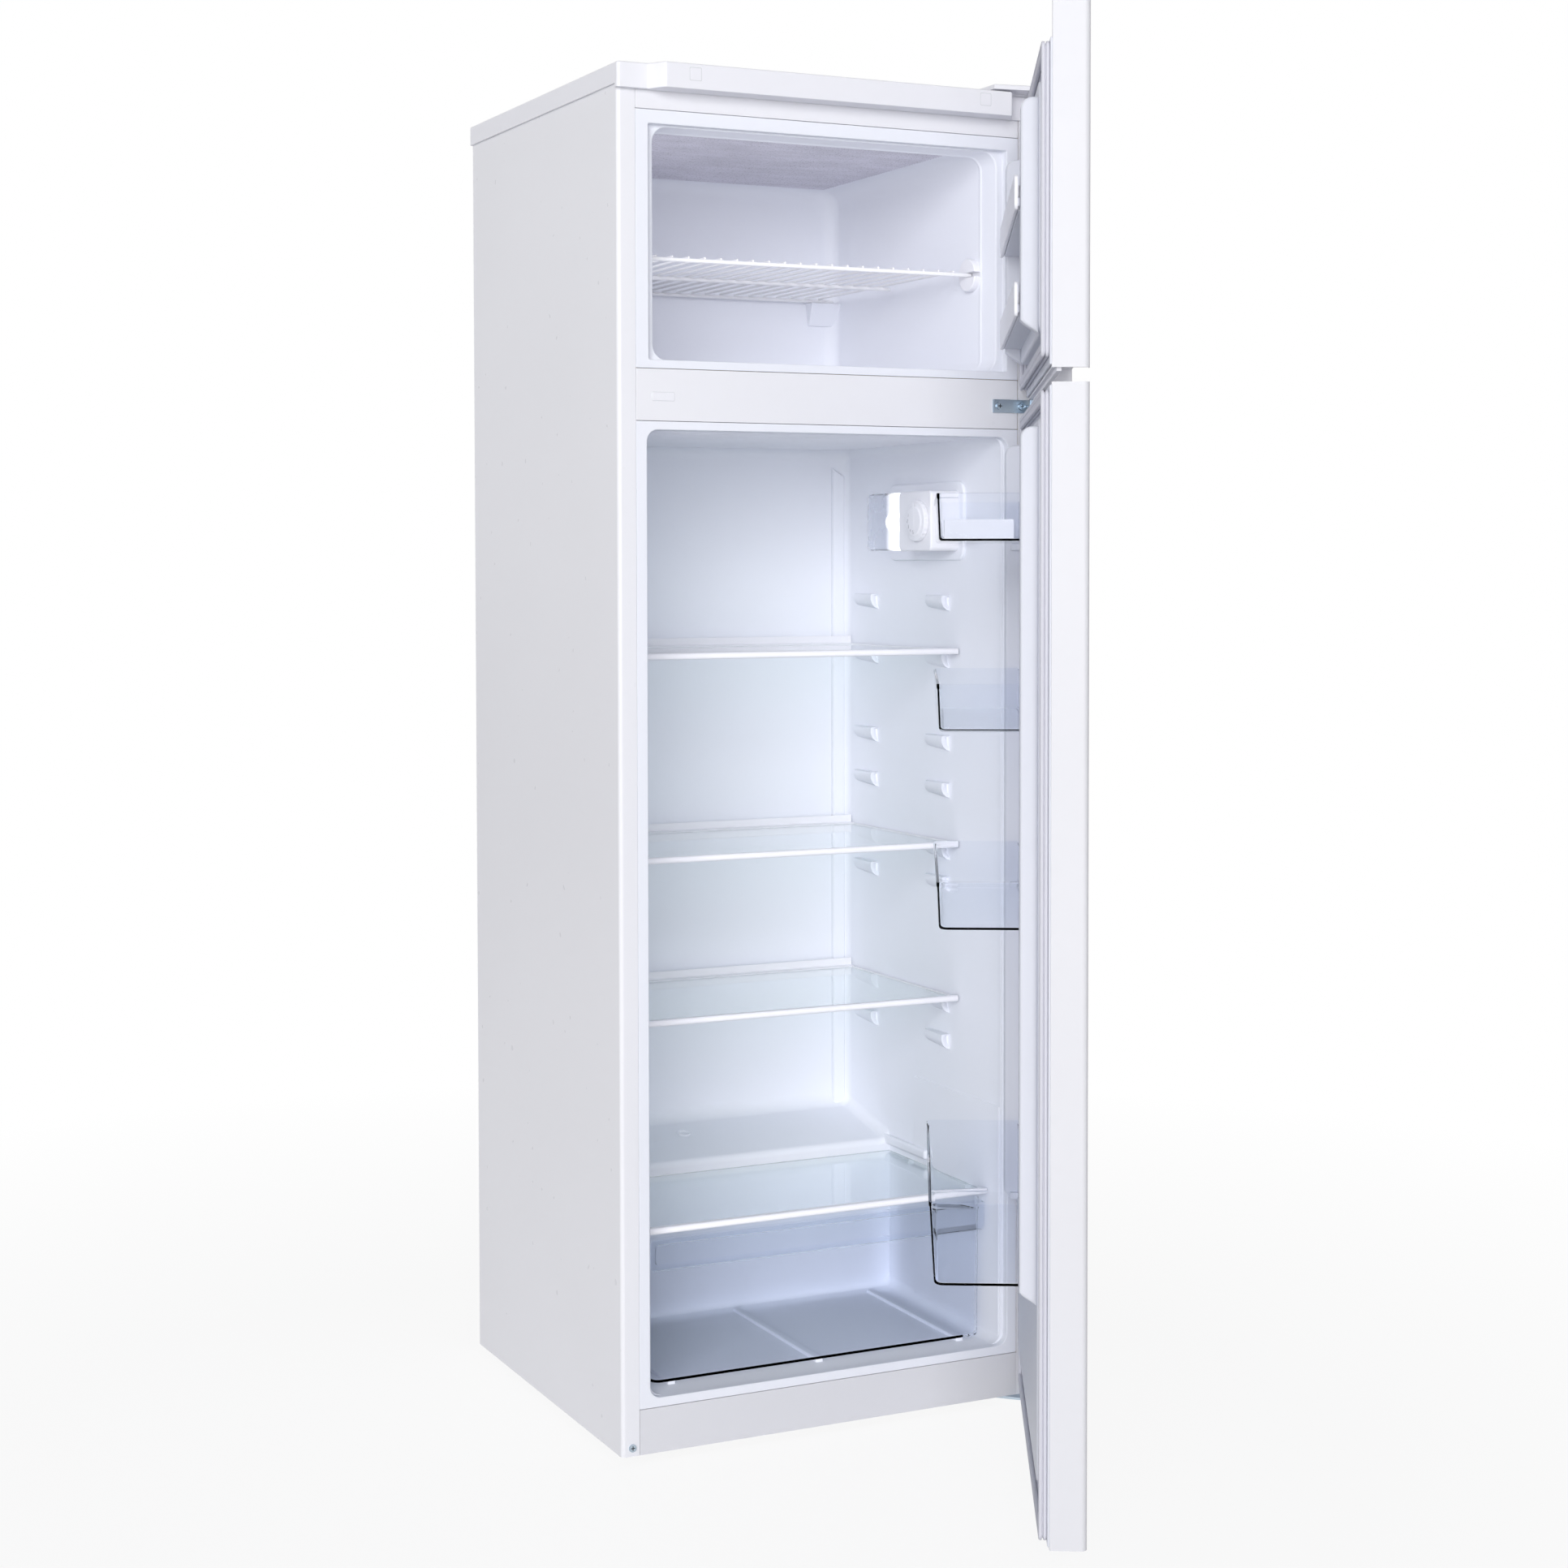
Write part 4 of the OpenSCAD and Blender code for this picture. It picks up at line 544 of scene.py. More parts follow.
class Solid:
    """Closed solids of one piece, in the cabinet's frame, in mm."""

    def __init__(self):
        self.bm = bmesh.new()

    def loft(self, loops, ring=False):
        """A solid through outlines of one count; its ends are filled, or joined up."""
        bm = self.bm
        rows = [[bm.verts.new(p) for p in loop] for loop in loops]
        pairs = list(zip(rows, rows[1:]))
        if ring:
            pairs.append((rows[-1], rows[0]))
        for a, b in pairs:
            for i in range(len(a)):
                j = (i + 1) % len(a)
                bm.faces.new((a[i], a[j], b[j], b[i]))
        if not ring:
            bm.faces.new(rows[0][::-1])
            bm.faces.new(rows[-1])
        bmesh.ops.remove_doubles(bm, verts=[v for r in rows for v in r], dist=1e-4)

    def prism(self, loop, at, a0, a1, r0=0.0, r1=None, seg=3):
        """An outline carried from a0 to a1, its rims rounded by r0 and r1."""
        r1 = r0 if r1 is None else r1
        s = 1 if a1 > a0 else -1
        rims = [(a0 + s * r0 * a, r0 * (1 - b)) for a, b in quarter(seg)]
        ends = [(a1 - s * r1 * (1 - b), r1 * a) for a, b in quarter(seg)]
        steps = (rims if r0 else [(a0, 0)]) + (ends if r1 else [(a1, 0)])
        self.loft([at(inset(loop, d) if d > 1e-6 else loop, a) for a, d in steps])

    def block(self, x0, x1, y0, y1, z0, z1, r=0.4, seg=3):
        """A box with every edge rounded by r."""
        r = min(r, (x1 - x0) / 2.01, (y1 - y0) / 2.01, (z1 - z0) / 2.01)
        steps = [(z0 + r * a, r * (1 - b)) for a, b in quarter(seg)]
        steps += [(z1 - r * (1 - b), r * a) for a, b in quarter(seg)]
        self.loft(
            [at_z(rrect(x0 + d, x1 - d, y0 + d, y1 - d, r - d, seg), z) for z, d in steps]
        )

    def lathe(self, profile, origin, axis, seg=40, ring=False, ripple=None):
        """A profile of (radius, way along the axis) turned about the axis."""
        o, a = Vector(origin), Vector(axis).normalized()
        u = a.orthogonal().normalized()
        v = a.cross(u)
        loops = []
        for k, (rad, t) in enumerate(profile):
            loop = []
            for i in range(seg):
                w = 2 * math.pi * i / seg
                rr = rad + (ripple(k, w) if ripple else 0)
                loop.append(o + a * t + (u * math.cos(w) + v * math.sin(w)) * rr)
            loops.append(loop)
        self.loft(loops, ring)

    def rod(self, a, b, r, seg):
        """A straight round bar from a to b, its ends domed beyond them."""
        a, b = Vector(a), Vector(b)
        way = (b - a).normalized()
        u = way.orthogonal().normalized()
        v = way.cross(u)
        dome = [(math.cos(w), math.sin(w)) for w in (0.5, 1.0, 1.4)]
        rings = [(a - way * r * on, r * c) for c, on in dome[::-1]] + [(a, r), (b, r)]
        rings += [(b + way * r * on, r * c) for c, on in dome]
        turns = [2 * math.pi * i / seg for i in range(seg)]
        self.loft(
            [[p + (u * math.cos(w) + v * math.sin(w)) * rr for w in turns] for p, rr in rings]
        )


def make(name, solid, body, slot, *stands_for, door=False, mat=None):
    """Puts a piece in the row frame, shades it and ties it to its body."""
    bm = solid.bm
    for v in bm.verts:
        x, y, z = v.co
        if door:
            x, y = swing(x, y)
        v.co = row(x, y, z)
    bmesh.ops.recalc_face_normals(bm, faces=bm.faces)
    mesh = bpy.data.meshes.new(name)
    bm.to_mesh(mesh)
    bm.free()
    mesh.polygons.foreach_set("use_smooth", [True] * len(mesh.polygons))
    mesh.set_sharp_from_angle(angle=math.radians(34))
    mesh.materials.append(M[mat or slot])
    ob = bpy.data.objects.new(name, mesh)
    bpy.context.scene.collection.objects.link(ob)
    even = ob.modifiers.new("even", "WEIGHTED_NORMAL")
    even.keep_sharp = True
    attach(ob, body)
    if stands_for:
        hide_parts(*stands_for)


# ---------------------------------------------------------------- cabinet body
def worktop():
    """Worktop with its bowed front, the blanking plugs and the hinge cover."""
    front = (
        arc(1, -5, 4, 180, 270, 4)
        + s_curve(33, -9, 50, -29)
        + s_curve(500, -29, 517, -4)
        + arc(551, -2, 2, 270, 360, 4)
    )
    s = Solid()
    s.prism(
        front + [(553, 494), (551, 496), (-1, 496), (-3, 494)],
        at_z, Z_TOP + 0.1, Z_WORK, 0.3, 2.2, 5,
    )
    s.prism(inset(front + [(553, -0.5), (-3, -0.5)], 0.03), at_z, 1577, 1595, 0.9, 0)
    make("worktop_top", s, "cabinet", "white_plastic", "worktop")
    s = Solid()
    plug_xs = (85, 465)
    for x in plug_xs:
        s.prism(rrect(x - 7, x + 7, 1587, 1601, 1.2, 3), at_y, -27, -29.2, 0, 0.35)
    s.prism(rrect(42.2, 69.8, 1225.2, 1234.8, 1.5, 3), at_y, 0.5, -0.8, 0, 0.4)
    make("plugs", s, "cabinet", "white_plastic", "blanking_plugs")
    # thin grey rims round each plug: painted shade standing in for the seams' gaps
    s = Solid()
    for x in plug_xs:
        s.prism(rrect(x - 7.6, x + 7.6, 1586.4, 1601.6, 1.5, 3), at_y, -28.5, -29.06)
    s.prism(rrect(41.7, 70.3, 1224.7, 1235.3, 1.8, 3), at_y, 0.3, -0.06)
    make("plug_seam_shade", s, "cabinet", "white_plastic", mat="tray_plastic")
    s = Solid()
    plan = (
        [(552, 46), (479, 46), (479, -25)]
        + arc(537, -22, 14, 250, 280)
        + arc(544, -28, 8, 280, 360)
    )
    s.prism(plan, at_z, 1608.4, 1614.4, 0.4, 2.2)
    s.prism(rrect(479.05, 551.95, -2.9, 45.95, 0.8, 2), at_z, 1606.15, 1612)
    make("hinge_cap", s, "cabinet", "white_plastic", "hinge_cover")


def shell():
    """Folded side panels, the rails between them and the plinth."""
    bend = 5
    side = (
        [(FLANGE, 0)] + arc(bend, bend, bend, 270, 180, 8)
        + [(0, CAB_D), (FLANGE, CAB_D), (FLANGE, CAB_D - SHEET), (SHEET, CAB_D - SHEET)]
        + arc(bend, bend, bend - SHEET, 180, 270, 8) + [(FLANGE, SHEET)]
    )
    s = Solid()
    s.prism(side, at_z, Z_BODY, Z_TOP - 0.05)
    s.prism([(CAB_W - x, y) for x, y in side], at_z, Z_BODY, Z_TOP - 0.05)
    s.block(0.5, CAB_W - 0.5, 0.6, CAB_D - 0.6, Z_TOP - SHEET, Z_TOP, 0.2, 1)
    for x0, x1 in ((0.5, FLANGE), (CAB_W - FLANGE, CAB_W - 0.5)):
        s.block(x0, x1, bend, CAB_D - 0.6, Z_BODY, Z_BODY + SHEET, 0.3, 1)
    make("cabinet_shell", s, "cabinet", "white_steel", "outer_shell")
    s = Solid()
    s.block(IN_X0, IN_X1, 0, 16, Z_MID0 + SEAM / 2, Z_MID1 - SEAM / 2, 0.9)
    s.block(IN_X0, IN_X1, 0, 16, Z_RIM1 + SEAM / 2, Z_TOP - SHEET - SEAM / 2, 0.9)
    make("rails", s, "cabinet", "white_steel", "cross_rails")
    s = Solid()
    top = Z_PLINTH - 0.3
    s.prism(
        [(0, Z_BODY), (1.5, Z_BODY), (1.5, top - 1.5), (16, top - 1.5), (16, top), (1, top),
         (0.3, top - 0.3), (0, top - 1)],
        at_x, IN_X0, IN_X1,
    )
    # the plinth in the darker copy of the steel: painted shade near the floor
    make("base_plinth", s, "cabinet", "white_steel", "plinth", mat="steel_painted_shade")


def wall_rest(s, wall, y0, y1, seat, reach, h):
    """Moulded shelf rest: flat on top, a round nose, the underside melting into the wall."""
    way = 1 if wall < MID_X else -1
    nose = 11
    steps = [(y0 + nose * (1 - b), a) for a, b in quarter(7) if a > 0.1]
    steps += [(y0 + nose + (y1 - y0 - nose) * k / 4, 1.0) for k in range(1, 5)]
    loops = []
    for y, full in steps:
        w = reach * full
        top = seat - 2.5 * (1 - full)
        deep = h * (0.5 + 0.5 * full) * (1 - 0.2 * (y - y0) / (y1 - y0))
        w *= 1 - 0.25 * (y - y0) / (y1 - y0)
        edge = min(2.4, 0.4 * w)
        side = [(-0.8, 0), (w - edge, 0), (w - 0.3 * edge, -0.3 * edge), (w, -edge)]
        side += [(w, -0.4 * deep), (0.78 * w, -0.7 * deep), (0.4 * w, -0.9 * deep)]
        side.append((-0.8, -deep))
        loops.append([(wall + way * u, y, top + v) for u, v in side])
    s.loft(loops)


def on_wall(wall, root, reach):
    """The x range from root inside the liner's wall to reach off it, on either side."""
    a, b = FR_X0 - root, FR_X0 + reach
    return (a, b) if wall < MID_X else (CAB_W - b, CAB_W - a)


def fridge_space():
    """Refrigerator liner: outside, front flange, rebate, inside and all it carries."""
    def ring(x, z0, z1, r, y):
        return at_y(rrect(x, CAB_W - x, z0, z1, r, 8), y)

    zb, zt = Z_FR0, Z_FR1
    step_y, step_z, rise = 298.5, 262.5, 9.5  # the step over the compressor
    slope = 0.21
    loops = [
        ring(38.5, 268.5, zt + 1.5, 15.5, 426.5),
        ring(38.5, 268.5, zt + 1.5, 15.5, 303),
        ring(38.5, zb - 1.5, zt + 1.5, 15.5, 302.2),
        ring(38.5, zb - 1.5, zt + 1.5, 15.5, 11.6),
        ring(34.5, zb - 1.5, zt + 1.5, 15.5, 11.5),
        ring(34.5, zb - 1.5, zt + 1.5, 15.5, 1.5),
        ring(IN_X0, Z_PLINTH + SEAM / 2, Z_MID0 - SEAM / 2, 0.5, 1.5),
        ring(IN_X0, Z_PLINTH + SEAM / 2, Z_MID0 - SEAM / 2, 0.5, 0.5),
        ring(IN_X0 + 0.5, Z_PLINTH + 0.75, Z_MID0 - 0.75, 0.5, 0),
    ]
    for a, b in quarter(3):
        e = 1.3 * (1 - b)
        loops.append(ring(36 - e, zb - e, zt + e, 14 + e, 1.3 * a))
    loops += [ring(36 + d, zb, zt, 14, y) for d, y in ((0, 8.8), (0.4, 9.6), (1.2, 10), (2.6, 10))]
    loops += [ring(FR_X0 - 1.1 * (1 - b), zb, zt, 14, 10 + 1.1 * a) for a, b in quarter(3)]
    loops += [ring(FR_X0, zb + 8 * a, zt, 14, step_y - 8 * (1 - b)) for a, b in quarter(5)]
    loops += [
        ring(FR_X0, step_z + rise * b, zt, 14, step_y + rise * a) for a, b in quarter(6)
    ]
    for a, b in quarter(6):
        base = step_z + rise + slope * (101 + 16 * b)
        loops.append(ring(FR_X0 + 16 * a, base + 16 * a, zt - 16 * a, 14, 409 + 16 * b))
    s = Solid()
    s.loft(loops)
    for wall in (FR_X0, FR_X1):
        for seat in sorted(SHELF_SEATS + SPARE_SEATS):
            wall_rest(s, wall, 137, 187, seat, 12, 20)
            wall_rest(s, wall, 330, 385, seat, 12, 20)
        for y0, y1 in ((80, 120), (230, 278)):
            s.block(*on_wall(wall, 0.8, 9.4), y0, y1, 245.5, 253, 1.2)
        s.block(*on_wall(wall, 1, 6.5), 192, 312, 263.5, 276, 3.5, 4)
        s.block(*on_wall(wall, 1, 1.4), 12, 229, 79, 367, 1.0)
    for x in (80, MID_X, 470):
        s.block(x - 5, x + 5, 40, 280, 70.8, 76, 1.6)
    s.prism(rrect(96, 296, 1042, 1142, 16), at_x, FR_X1 + 0.8, 506, 0, 2.6, 4)
    s.prism([(487, 280), (505, 280), (505, 1157), (487, 1168)], at_y, 426, 418, 0, 3.2, 4)
    for k in range(15):
        y = 36 + 24.5 * k
        s.block(58, 492, y, y + 3.4, zt - 0.7, zt + 0.8, 0.6, 2)
    s.lathe(
        [(5.2, 0), (9, 0), (9.4, 1.2), (8.6, 2.0), (6.2, 1.6), (5.2, 0.4)],
        (245, 379.5, 286.6), (0, -0.206, 0.979), 32, ring=True,
    )
    make("fridge_compartment", s, "cabinet", "liner_plastic", "fridge_liner")


def freezer_space():
    """Freezer liner with its rear ledges, the wire shelf's sockets and the frost."""
    def ring(x, z0, z1, r, y):
        return at_y(rrect(x, CAB_W - x, z0, z1, r, 8), y)

    zb, zt, x0 = Z_FZ0, Z_FZ1, FZ_X0
    wide = (18, 26, 26, 18)
    out = (19.5, 27.5, 27.5, 19.5)
    loops = [
        ring(x0 - 1.5, zb - 1.5, 1547.4, out, 446.5),
        ring(x0 - 1.5, zb - 1.5, 1547.4, out, 48.6),
        ring(x0 - 1.5, zb - 1.5, 1539.5, 19.5, 48),
        ring(x0 - 1.5, zb - 1.5, 1539.5, 19.5, 11.6),
        ring(37, zb - 1.5, 1541.5, 3.5, 11.5),
        ring(37, zb - 1.5, 1541.5, 3.5, 1.5),
        ring(IN_X0, Z_MID1 + SEAM / 2, Z_RIM1 - SEAM / 2, 0.5, 1.5),
        ring(IN_X0, Z_MID1 + SEAM / 2, Z_RIM1 - SEAM / 2, 0.5, 0.5),
        ring(IN_X0 + 0.5, Z_MID1 + 0.75, Z_RIM1 - 0.75, 0.5, 0),
    ]
    for a, b in quarter(3):
        e = 1.2 * (1 - b)
        loops.append(ring(38.5 - e, zb - e, 1540 + e, 2 + e, 1.2 * a))
    # the rebate, the mouth with its lip, and the raised ceiling
    profile = (
        (38.5, 1540, 2, 8.9), (38.8, 1539.8, 2.2, 9.7), (39.5, 1539.3, 2.6, 10),
        (45.6, 1539.0, 18.6, 10), (46.8, 1538.6, 18.4, 10.3), (47.7, 1538.2, 18.2, 11.3),
        (x0, zt, 18, 13), (x0, zt, 18, 42), (48.3, zt - 0.6, 17.8, 43.6),
        (49.1, zt - 1.5, 17.4, 45.4), (49.2, zt - 1.5, 17.4, 47), (48.5, zt + 1.5, 20, 48.8),
        (x0, zt + 7, wide, 50.5), (x0, zt + 8, wide, 53),
    )
    loops += [ring(x, zb, z1, r, y) for x, z1, r, y in profile]
    for a, b in quarter(6):
        loops.append(ring(x0 + 18 * a, zb + 18 * a, zt + 8 - 18 * a, wide, 427 + 18 * b))
    s = Solid()
    s.loft(loops)
    sockets = Solid()
    low, high = 1362.0, 1392.1
    for wall, way in ((FZ_X0, 1), (FZ_X1, -1)):
        root = wall - way * 0.8
        slot = arc(66, WIRE_Z, 2.8, 90, -90, 8)
        disc = arc(66, WIRE_Z, 20, 188.1, 531.9, 44)
        sockets.prism(disc + slot, at_x, root, wall + way * 9, 0, 1.6, 4)
        sockets.lathe(
            [(0, 0), (19, 0), (19, 1.2), (0, 1.2)],
            (wall - way * 0.5, 66, WIRE_Z), (way, 0, 0), 32,
        )
        ledge = (
            (low, 40, 441), (low + 3, 41, 438.6), (high - 3, 43, 426),
            (high - 0.8, 43.6, 425.3), (high, 42.8, 426),
        )
        plan = []
        for z, reach, front in ledge:
            left, right = sorted((root, wall + way * reach))
            plan.append(at_z(rrect(left, right, front, 446, 1.0, 3), z))
        s.loft(plan)
    make("freezer_compartment", s, "cabinet", "liner_plastic", "freezer_liner")
    make("shelf_sockets", sockets, "cabinet", "white_plastic")
    ripples, steps = 54, 6
    count = ripples * steps
    wave = [
        (54 + 372 * i / count, 1544.9 + 0.45 * math.cos(2 * math.pi * i / steps))
        for i in range(count + 1)
    ]
    s = Solid()
    s.prism(wave + [(426, 1546.3), (54, 1546.3)], at_x, 74, 476)
    make("frosted_ceiling", s, "cabinet", "liner_plastic", mat="frost")


def feet():
    """Levelling feet with a knurled rim."""
    for name, x in (("left", FOOT_X), ("right", CAB_W - FOOT_X)):
        s = Solid()
        s.lathe(
            [(0, 0), (13.6, 0), (15, 1.2), (15, 5), (13.8, 6.4), (6.5, 6.5), (5, 7.4),
             (5, 35.4), (4.4, 35.5), (0, 35.5)],
            (x, FOOT_Y, 0.01), (0, 0, 1), 40,
            ripple=ribs(20, 0.35),
        )
        make(f"{name}_foot_screw", s, f"{name}_foot", "black_plastic", f"front_foot_{name}")


# ---------------------------------------------------------------- inside
def glass_plate(y0, y1, seat):
    """Glass that reaches from y0 back to y1, just above its seat."""
    s = Solid()
    s.block(GLASS_X0, GLASS_X1, y0, y1, seat + 0.3, seat + 4.3, 0.5, 2)
    return s


def front_trim(y0, seat):
    """Section of the edge that is pushed on a glass plate's front."""
    z0, z1, back, r = seat - 0.7, seat + 7.3, y0 + 12, 3.5
    return (
        arc(y0 + 1.5, z0 + r, r, 270, 180, 5) + arc(y0 + 1.5, z1 - r, r, 180, 90, 5)
        + [(back, z1 - 1.2), (back, seat + 4.4), (y0 - 0.1, seat + 4.4),
           (y0 - 0.1, seat + 0.2), (back, seat + 0.2), (back, z0 + 0.3)]
    )


def shelf(n, body, seat):
    """Glass shelf with its front edge, raised rear edge and side strips."""
    make(f"glass_plate_{n}", glass_plate(110, 403, seat), body, "glass", f"shelf_glass_{n}")
    rear = [
        (405, 0.3), (405, 15), (404.7, 15.7), (404, 16), (403.4, 15.7), (403.15, 15),
        (403.1, 7), (402.2, 5.9), (393.5, 5.8), (393, 5.3), (393, 4.4), (403.1, 4.4),
        (403.1, 0.3),
    ]
    s = Solid()
    s.prism(front_trim(110, seat), at_x, TRIM_X0, TRIM_X1)
    s.prism([(y, seat + z) for y, z in rear], at_x, TRIM_X0, TRIM_X1)
    for x0, x1 in ((TRIM_X0, TRIM_X0 + 3), (TRIM_X1 - 3, TRIM_X1)):
        s.block(x0, x1, 121.5, 393.5, seat + 0.3, seat + 5.6, 0.8, 2)
    make(f"shelf_edges_{n}", s, body, "white_plastic", f"shelf_trim_{n}")


def screw_recess_shade():
    """Black crosses on the screw heads that show from the front: painted shade standing in for
    their cross recesses.
    """
    s = Solid()
    for x, y, z in ((500, -4.8, 1230), (531.4, -4.8, 1230), (13, -1.8, 18), (537, -1.8, 18)):
        s.block(x - 2.6, x + 2.6, y - 0.12, y + 0.3, z - 0.55, z + 0.55, 0.1, 1)
        s.block(x - 0.55, x + 0.55, y - 0.1, y + 0.3, z - 2.6, z + 2.6, 0.1, 1)
    make("screw_recess_shade", s, "cabinet", "zinc", mat="black_plastic")


def crisper():
    """Crisper's glass cover with its edge, and the clear drawer."""
    seat = 253
    make("crisper_glass", glass_plate(37, 290, seat), "cabinet", "glass", "crisper_cover")
    s = Solid()
    s.prism(front_trim(37, seat), at_x, 51, TRIM_X1)
    make("crisper_edge", s, "cabinet", "white_plastic", "crisper_cover_trim")
    s = Solid()
    s.prism(front_trim(37, seat), at_x, TRIM_X0, 50.8)
    make("crisper_edge_stop", s, "cabinet", "white_plastic", mat="black_plastic")

    def ring(d, z, lean):
        outline = rrect(50 + lean + d, 500 - lean - d, 35 + d, 285 - lean - d, 14 - d, 6)
        return at_z(outline, z)

    zb, zt, t, lean = 76.3, 248.3, 2.5, 2.4
    loops = [ring(3.5 * (1 - b), zb + 3.5 * a, lean) for a, b in quarter(4)]
    loops += [ring(1.0, 236, 0), ring(0, 237.5, 0), ring(0, zt - 1, 0), ring(0.4, zt - 0.3, 0),
              ring(1.2, zt, 0), ring(t + 0.8, zt, 0), ring(t + 1.4, zt - 0.4, 0),
              ring(t + 1.4, 237, 0), ring(t + 0.4, 235, 0), ring(t + 0.2, zb + 6, lean)]
    loops += [ring(t + 0.2 + 3 * a, zb + 6 - 3.5 * b, lean) for a, b in quarter(3)]
    s = Solid()
    s.loft(loops)
    s.prism(rrect(50, 500, 210.3, 247.3, 6), at_y, 32.2, 30, 0, 0.8)
    outer, inner = rrect(50.6, 499.4, 210.9, 246.7, 5.4), rrect(57, 493, 217, 241, 4)
    s.loft(
        [at_y(outer, 32.25), at_y(outer, 34.9), at_y(inner, 34.9), at_y(inner, 32.25)],
        ring=True,
    )
    make("crisper_box", s, "crisper", "clear_plastic", "crisper_drawer")


def wire_shelf():
    """Three cross rods that carry a row of thin wires."""
    s = Solid()
    for x, y in ((52, 66), (64, 255.5), (56, 437)):
        s.rod((x, y, WIRE_Z), (CAB_W - x, y, WIRE_Z), 2.5, 16)
    for i in range(20):
        x = 75.5 + 21 * i
        s.rod((x, 66, WIRE_Z + 3.5), (x, 437, WIRE_Z + 3.5), 1.5, 12)
    make("wire_grid", s, "wire_shelf", "white_wire", "freezer_wire_shelf")


# strokes of a generic figure: y and z ranges about its middle, in mm
DIGIT = {
    "a": (-1.2, 1.2, 1.8, 2.2), "g": (-1.2, 1.2, -0.2, 0.2), "d": (-1.2, 1.2, -2.2, -1.8),
    "b": (0.9, 1.3, 0.0, 2.0), "c": (0.9, 1.3, -2.0, 0.0), "e": (-1.3, -0.9, -2.0, 0.0),
    "f": (-1.3, -0.9, 0.0, 2.0), "r": (-0.2, 0.2, -2.2, 2.2),
}


def ribs(count, depth):
    """Ribs round the rim of a lathed knob or foot: how far each point moves in."""
    return lambda k, w: -depth * max(0, math.cos(count * w)) if 1 < k < 5 else 0


def control_housing():
    """Box behind the dial, and the light switch's guide with its round bore."""
    s = Solid()
    s.prism(rrect(108, 192, 1054, 1130, 6), at_x, 506.3, 466, 0, 2.6, 4)

    def guide(d):
        return rrect(489 + d, 506 - d, SWITCH_Z - 12 + d, SWITCH_Z + 12 - d, 3.2 - d, 5)

    bore_x, bore_r = 497.5, 4.4
    bore = []
    for x, z in guide(0):
        away = math.hypot(x - bore_x, z - SWITCH_Z)
        bore.append(
            (bore_x + bore_r * (x - bore_x) / away, SWITCH_Z + bore_r * (z - SWITCH_Z) / away)
        )
    nose = [at_y(guide(2.4 * a), 48.2 - 2.4 * b) for a, b in quarter(4)]
    s.loft([at_y(guide(0), 110)] + nose + [at_y(bore, 46.2), at_y(bore, 68)])
    make("control_housing", s, "cabinet", "white_plastic", "thermostat_housing")


def dial():
    """Ribbed dial with a pointer and its printed figures."""
    s = Solid()
    s.lathe(
        [(0, 0), (25.4, 0), (26, 0.8), (26, 5.4), (25, 6.4), (20, 6.8), (18.5, 8.0),
         (17.5, 8.5), (0, 8.5)],
        (465.6, DIAL_Y, DIAL_Z), (-1, 0, 0), 144, ripple=ribs(24, 0.7),
    )
    pointer = rrect(DIAL_Y - 2.6, DIAL_Y + 2.6, DIAL_Z - 12, DIAL_Z + 24, 2.4, 4)
    s.prism(pointer, at_x, 457.3, 456.9, 0, 0.3)
    make("dial", s, "knob", "white_plastic", "thermostat_knob")
    marks = Solid()
    for k, strokes in enumerate(("r", "abged", "abgcd", "fgbc", "afgcd")):
        turn = math.radians(150 + 30 * k)
        cy, cz = DIAL_Y - 14.2 * math.cos(turn), DIAL_Z + 14.2 * math.sin(turn)
        for stroke in strokes:
            y0, y1, z0, z1 = DIGIT[stroke]
            marks.block(457.0, 457.3, cy - y1, cy - y0, cz + z0, cz + z1, 0.1, 1)
    make("dial_marks", marks, "knob", "black_plastic", mat="mark_ink")


def lamp():
    """Clear lamp cover, the bulb, and the switch that the door presses."""
    s = Solid()
    outer = ((468, 3), (468.4, 1.5), (469.5, 0.4), (471, 0), (505.9, 0))
    inner = ((505.9, 0), (472, 0), (470.4, 0.6), (469.8, 2))
    loops = [at_x(rrect(192.3 + d, 284 - d, 1055 + d, 1129 - d, 6 - d), x) for x, d in outer]
    loops += [
        at_x(rrect(194 + d, 282.3 - d, 1056.7 + d, 1127.3 - d, 4.6 - d), x) for x, d in inner
    ]
    s.loft(loops)
    make("light_cover", s, "cabinet", "lamp_diffuser", "lamp_cover")
    s = Solid()
    globe = [(11 * math.cos(w), 38 + 11 * math.sin(w)) for w in (0, 0.4, 0.8, 1.15, 1.4)]
    s.lathe(
        [(0, 3), (7.4, 3), (7.4, 18), (8.6, 20.5), (10.4, 24), (11, 28)] + globe + [(0, 49)],
        (486, 202, DIAL_Z), (0, 1, 0), 36,
    )
    make("bulb", s, "cabinet", "bulb", "lamp_bulb")
    s = Solid()
    s.lathe(
        [(0, 0), (2.6, 0), (3.6, 0.5), (4, 1.6), (4, 42), (3.6, 42.4), (0, 42.4)],
        (498, 19.3, SWITCH_Z), (0, 1, 0), 28,
    )
    make("door_switch", s, "light_switch", "white_plastic", "light_switch_button")


# ---------------------------------------------------------------- doors
def door_skin(s, z0, z1, grip=False):
    """Folded sheet of a door, or its two ends beside the grip."""
    b, t = BACK_Y, SHEET
    left = arc(CORNER, SKIN_Y + CORNER, CORNER, 180, 270, 8)
    inner = arc(CORNER, SKIN_Y + CORNER, CORNER - t, 270, 180, 8)
    hem = [(t, b - t), (8, b - t), (8, b - 0.3), (7.7, b), (0.4, b), (0, b - 0.4)]
    right, right_hem, right_inner = mirrored(left), mirrored(hem), mirrored(inner)
    if not grip:
        s.prism(left + right + right_hem + right_inner + inner + hem, at_z, z0, z1)
        return
    end = [(GRIP_X0, SKIN_Y), (GRIP_X0, SKIN_Y + t)]
    s.prism(left + end + inner + hem, at_z, z0, z1)
    end = [(GRIP_X1, SKIN_Y + t), (GRIP_X1, SKIN_Y)]
    s.prism(end + right + right_hem + right_inner, at_z, z0, z1)


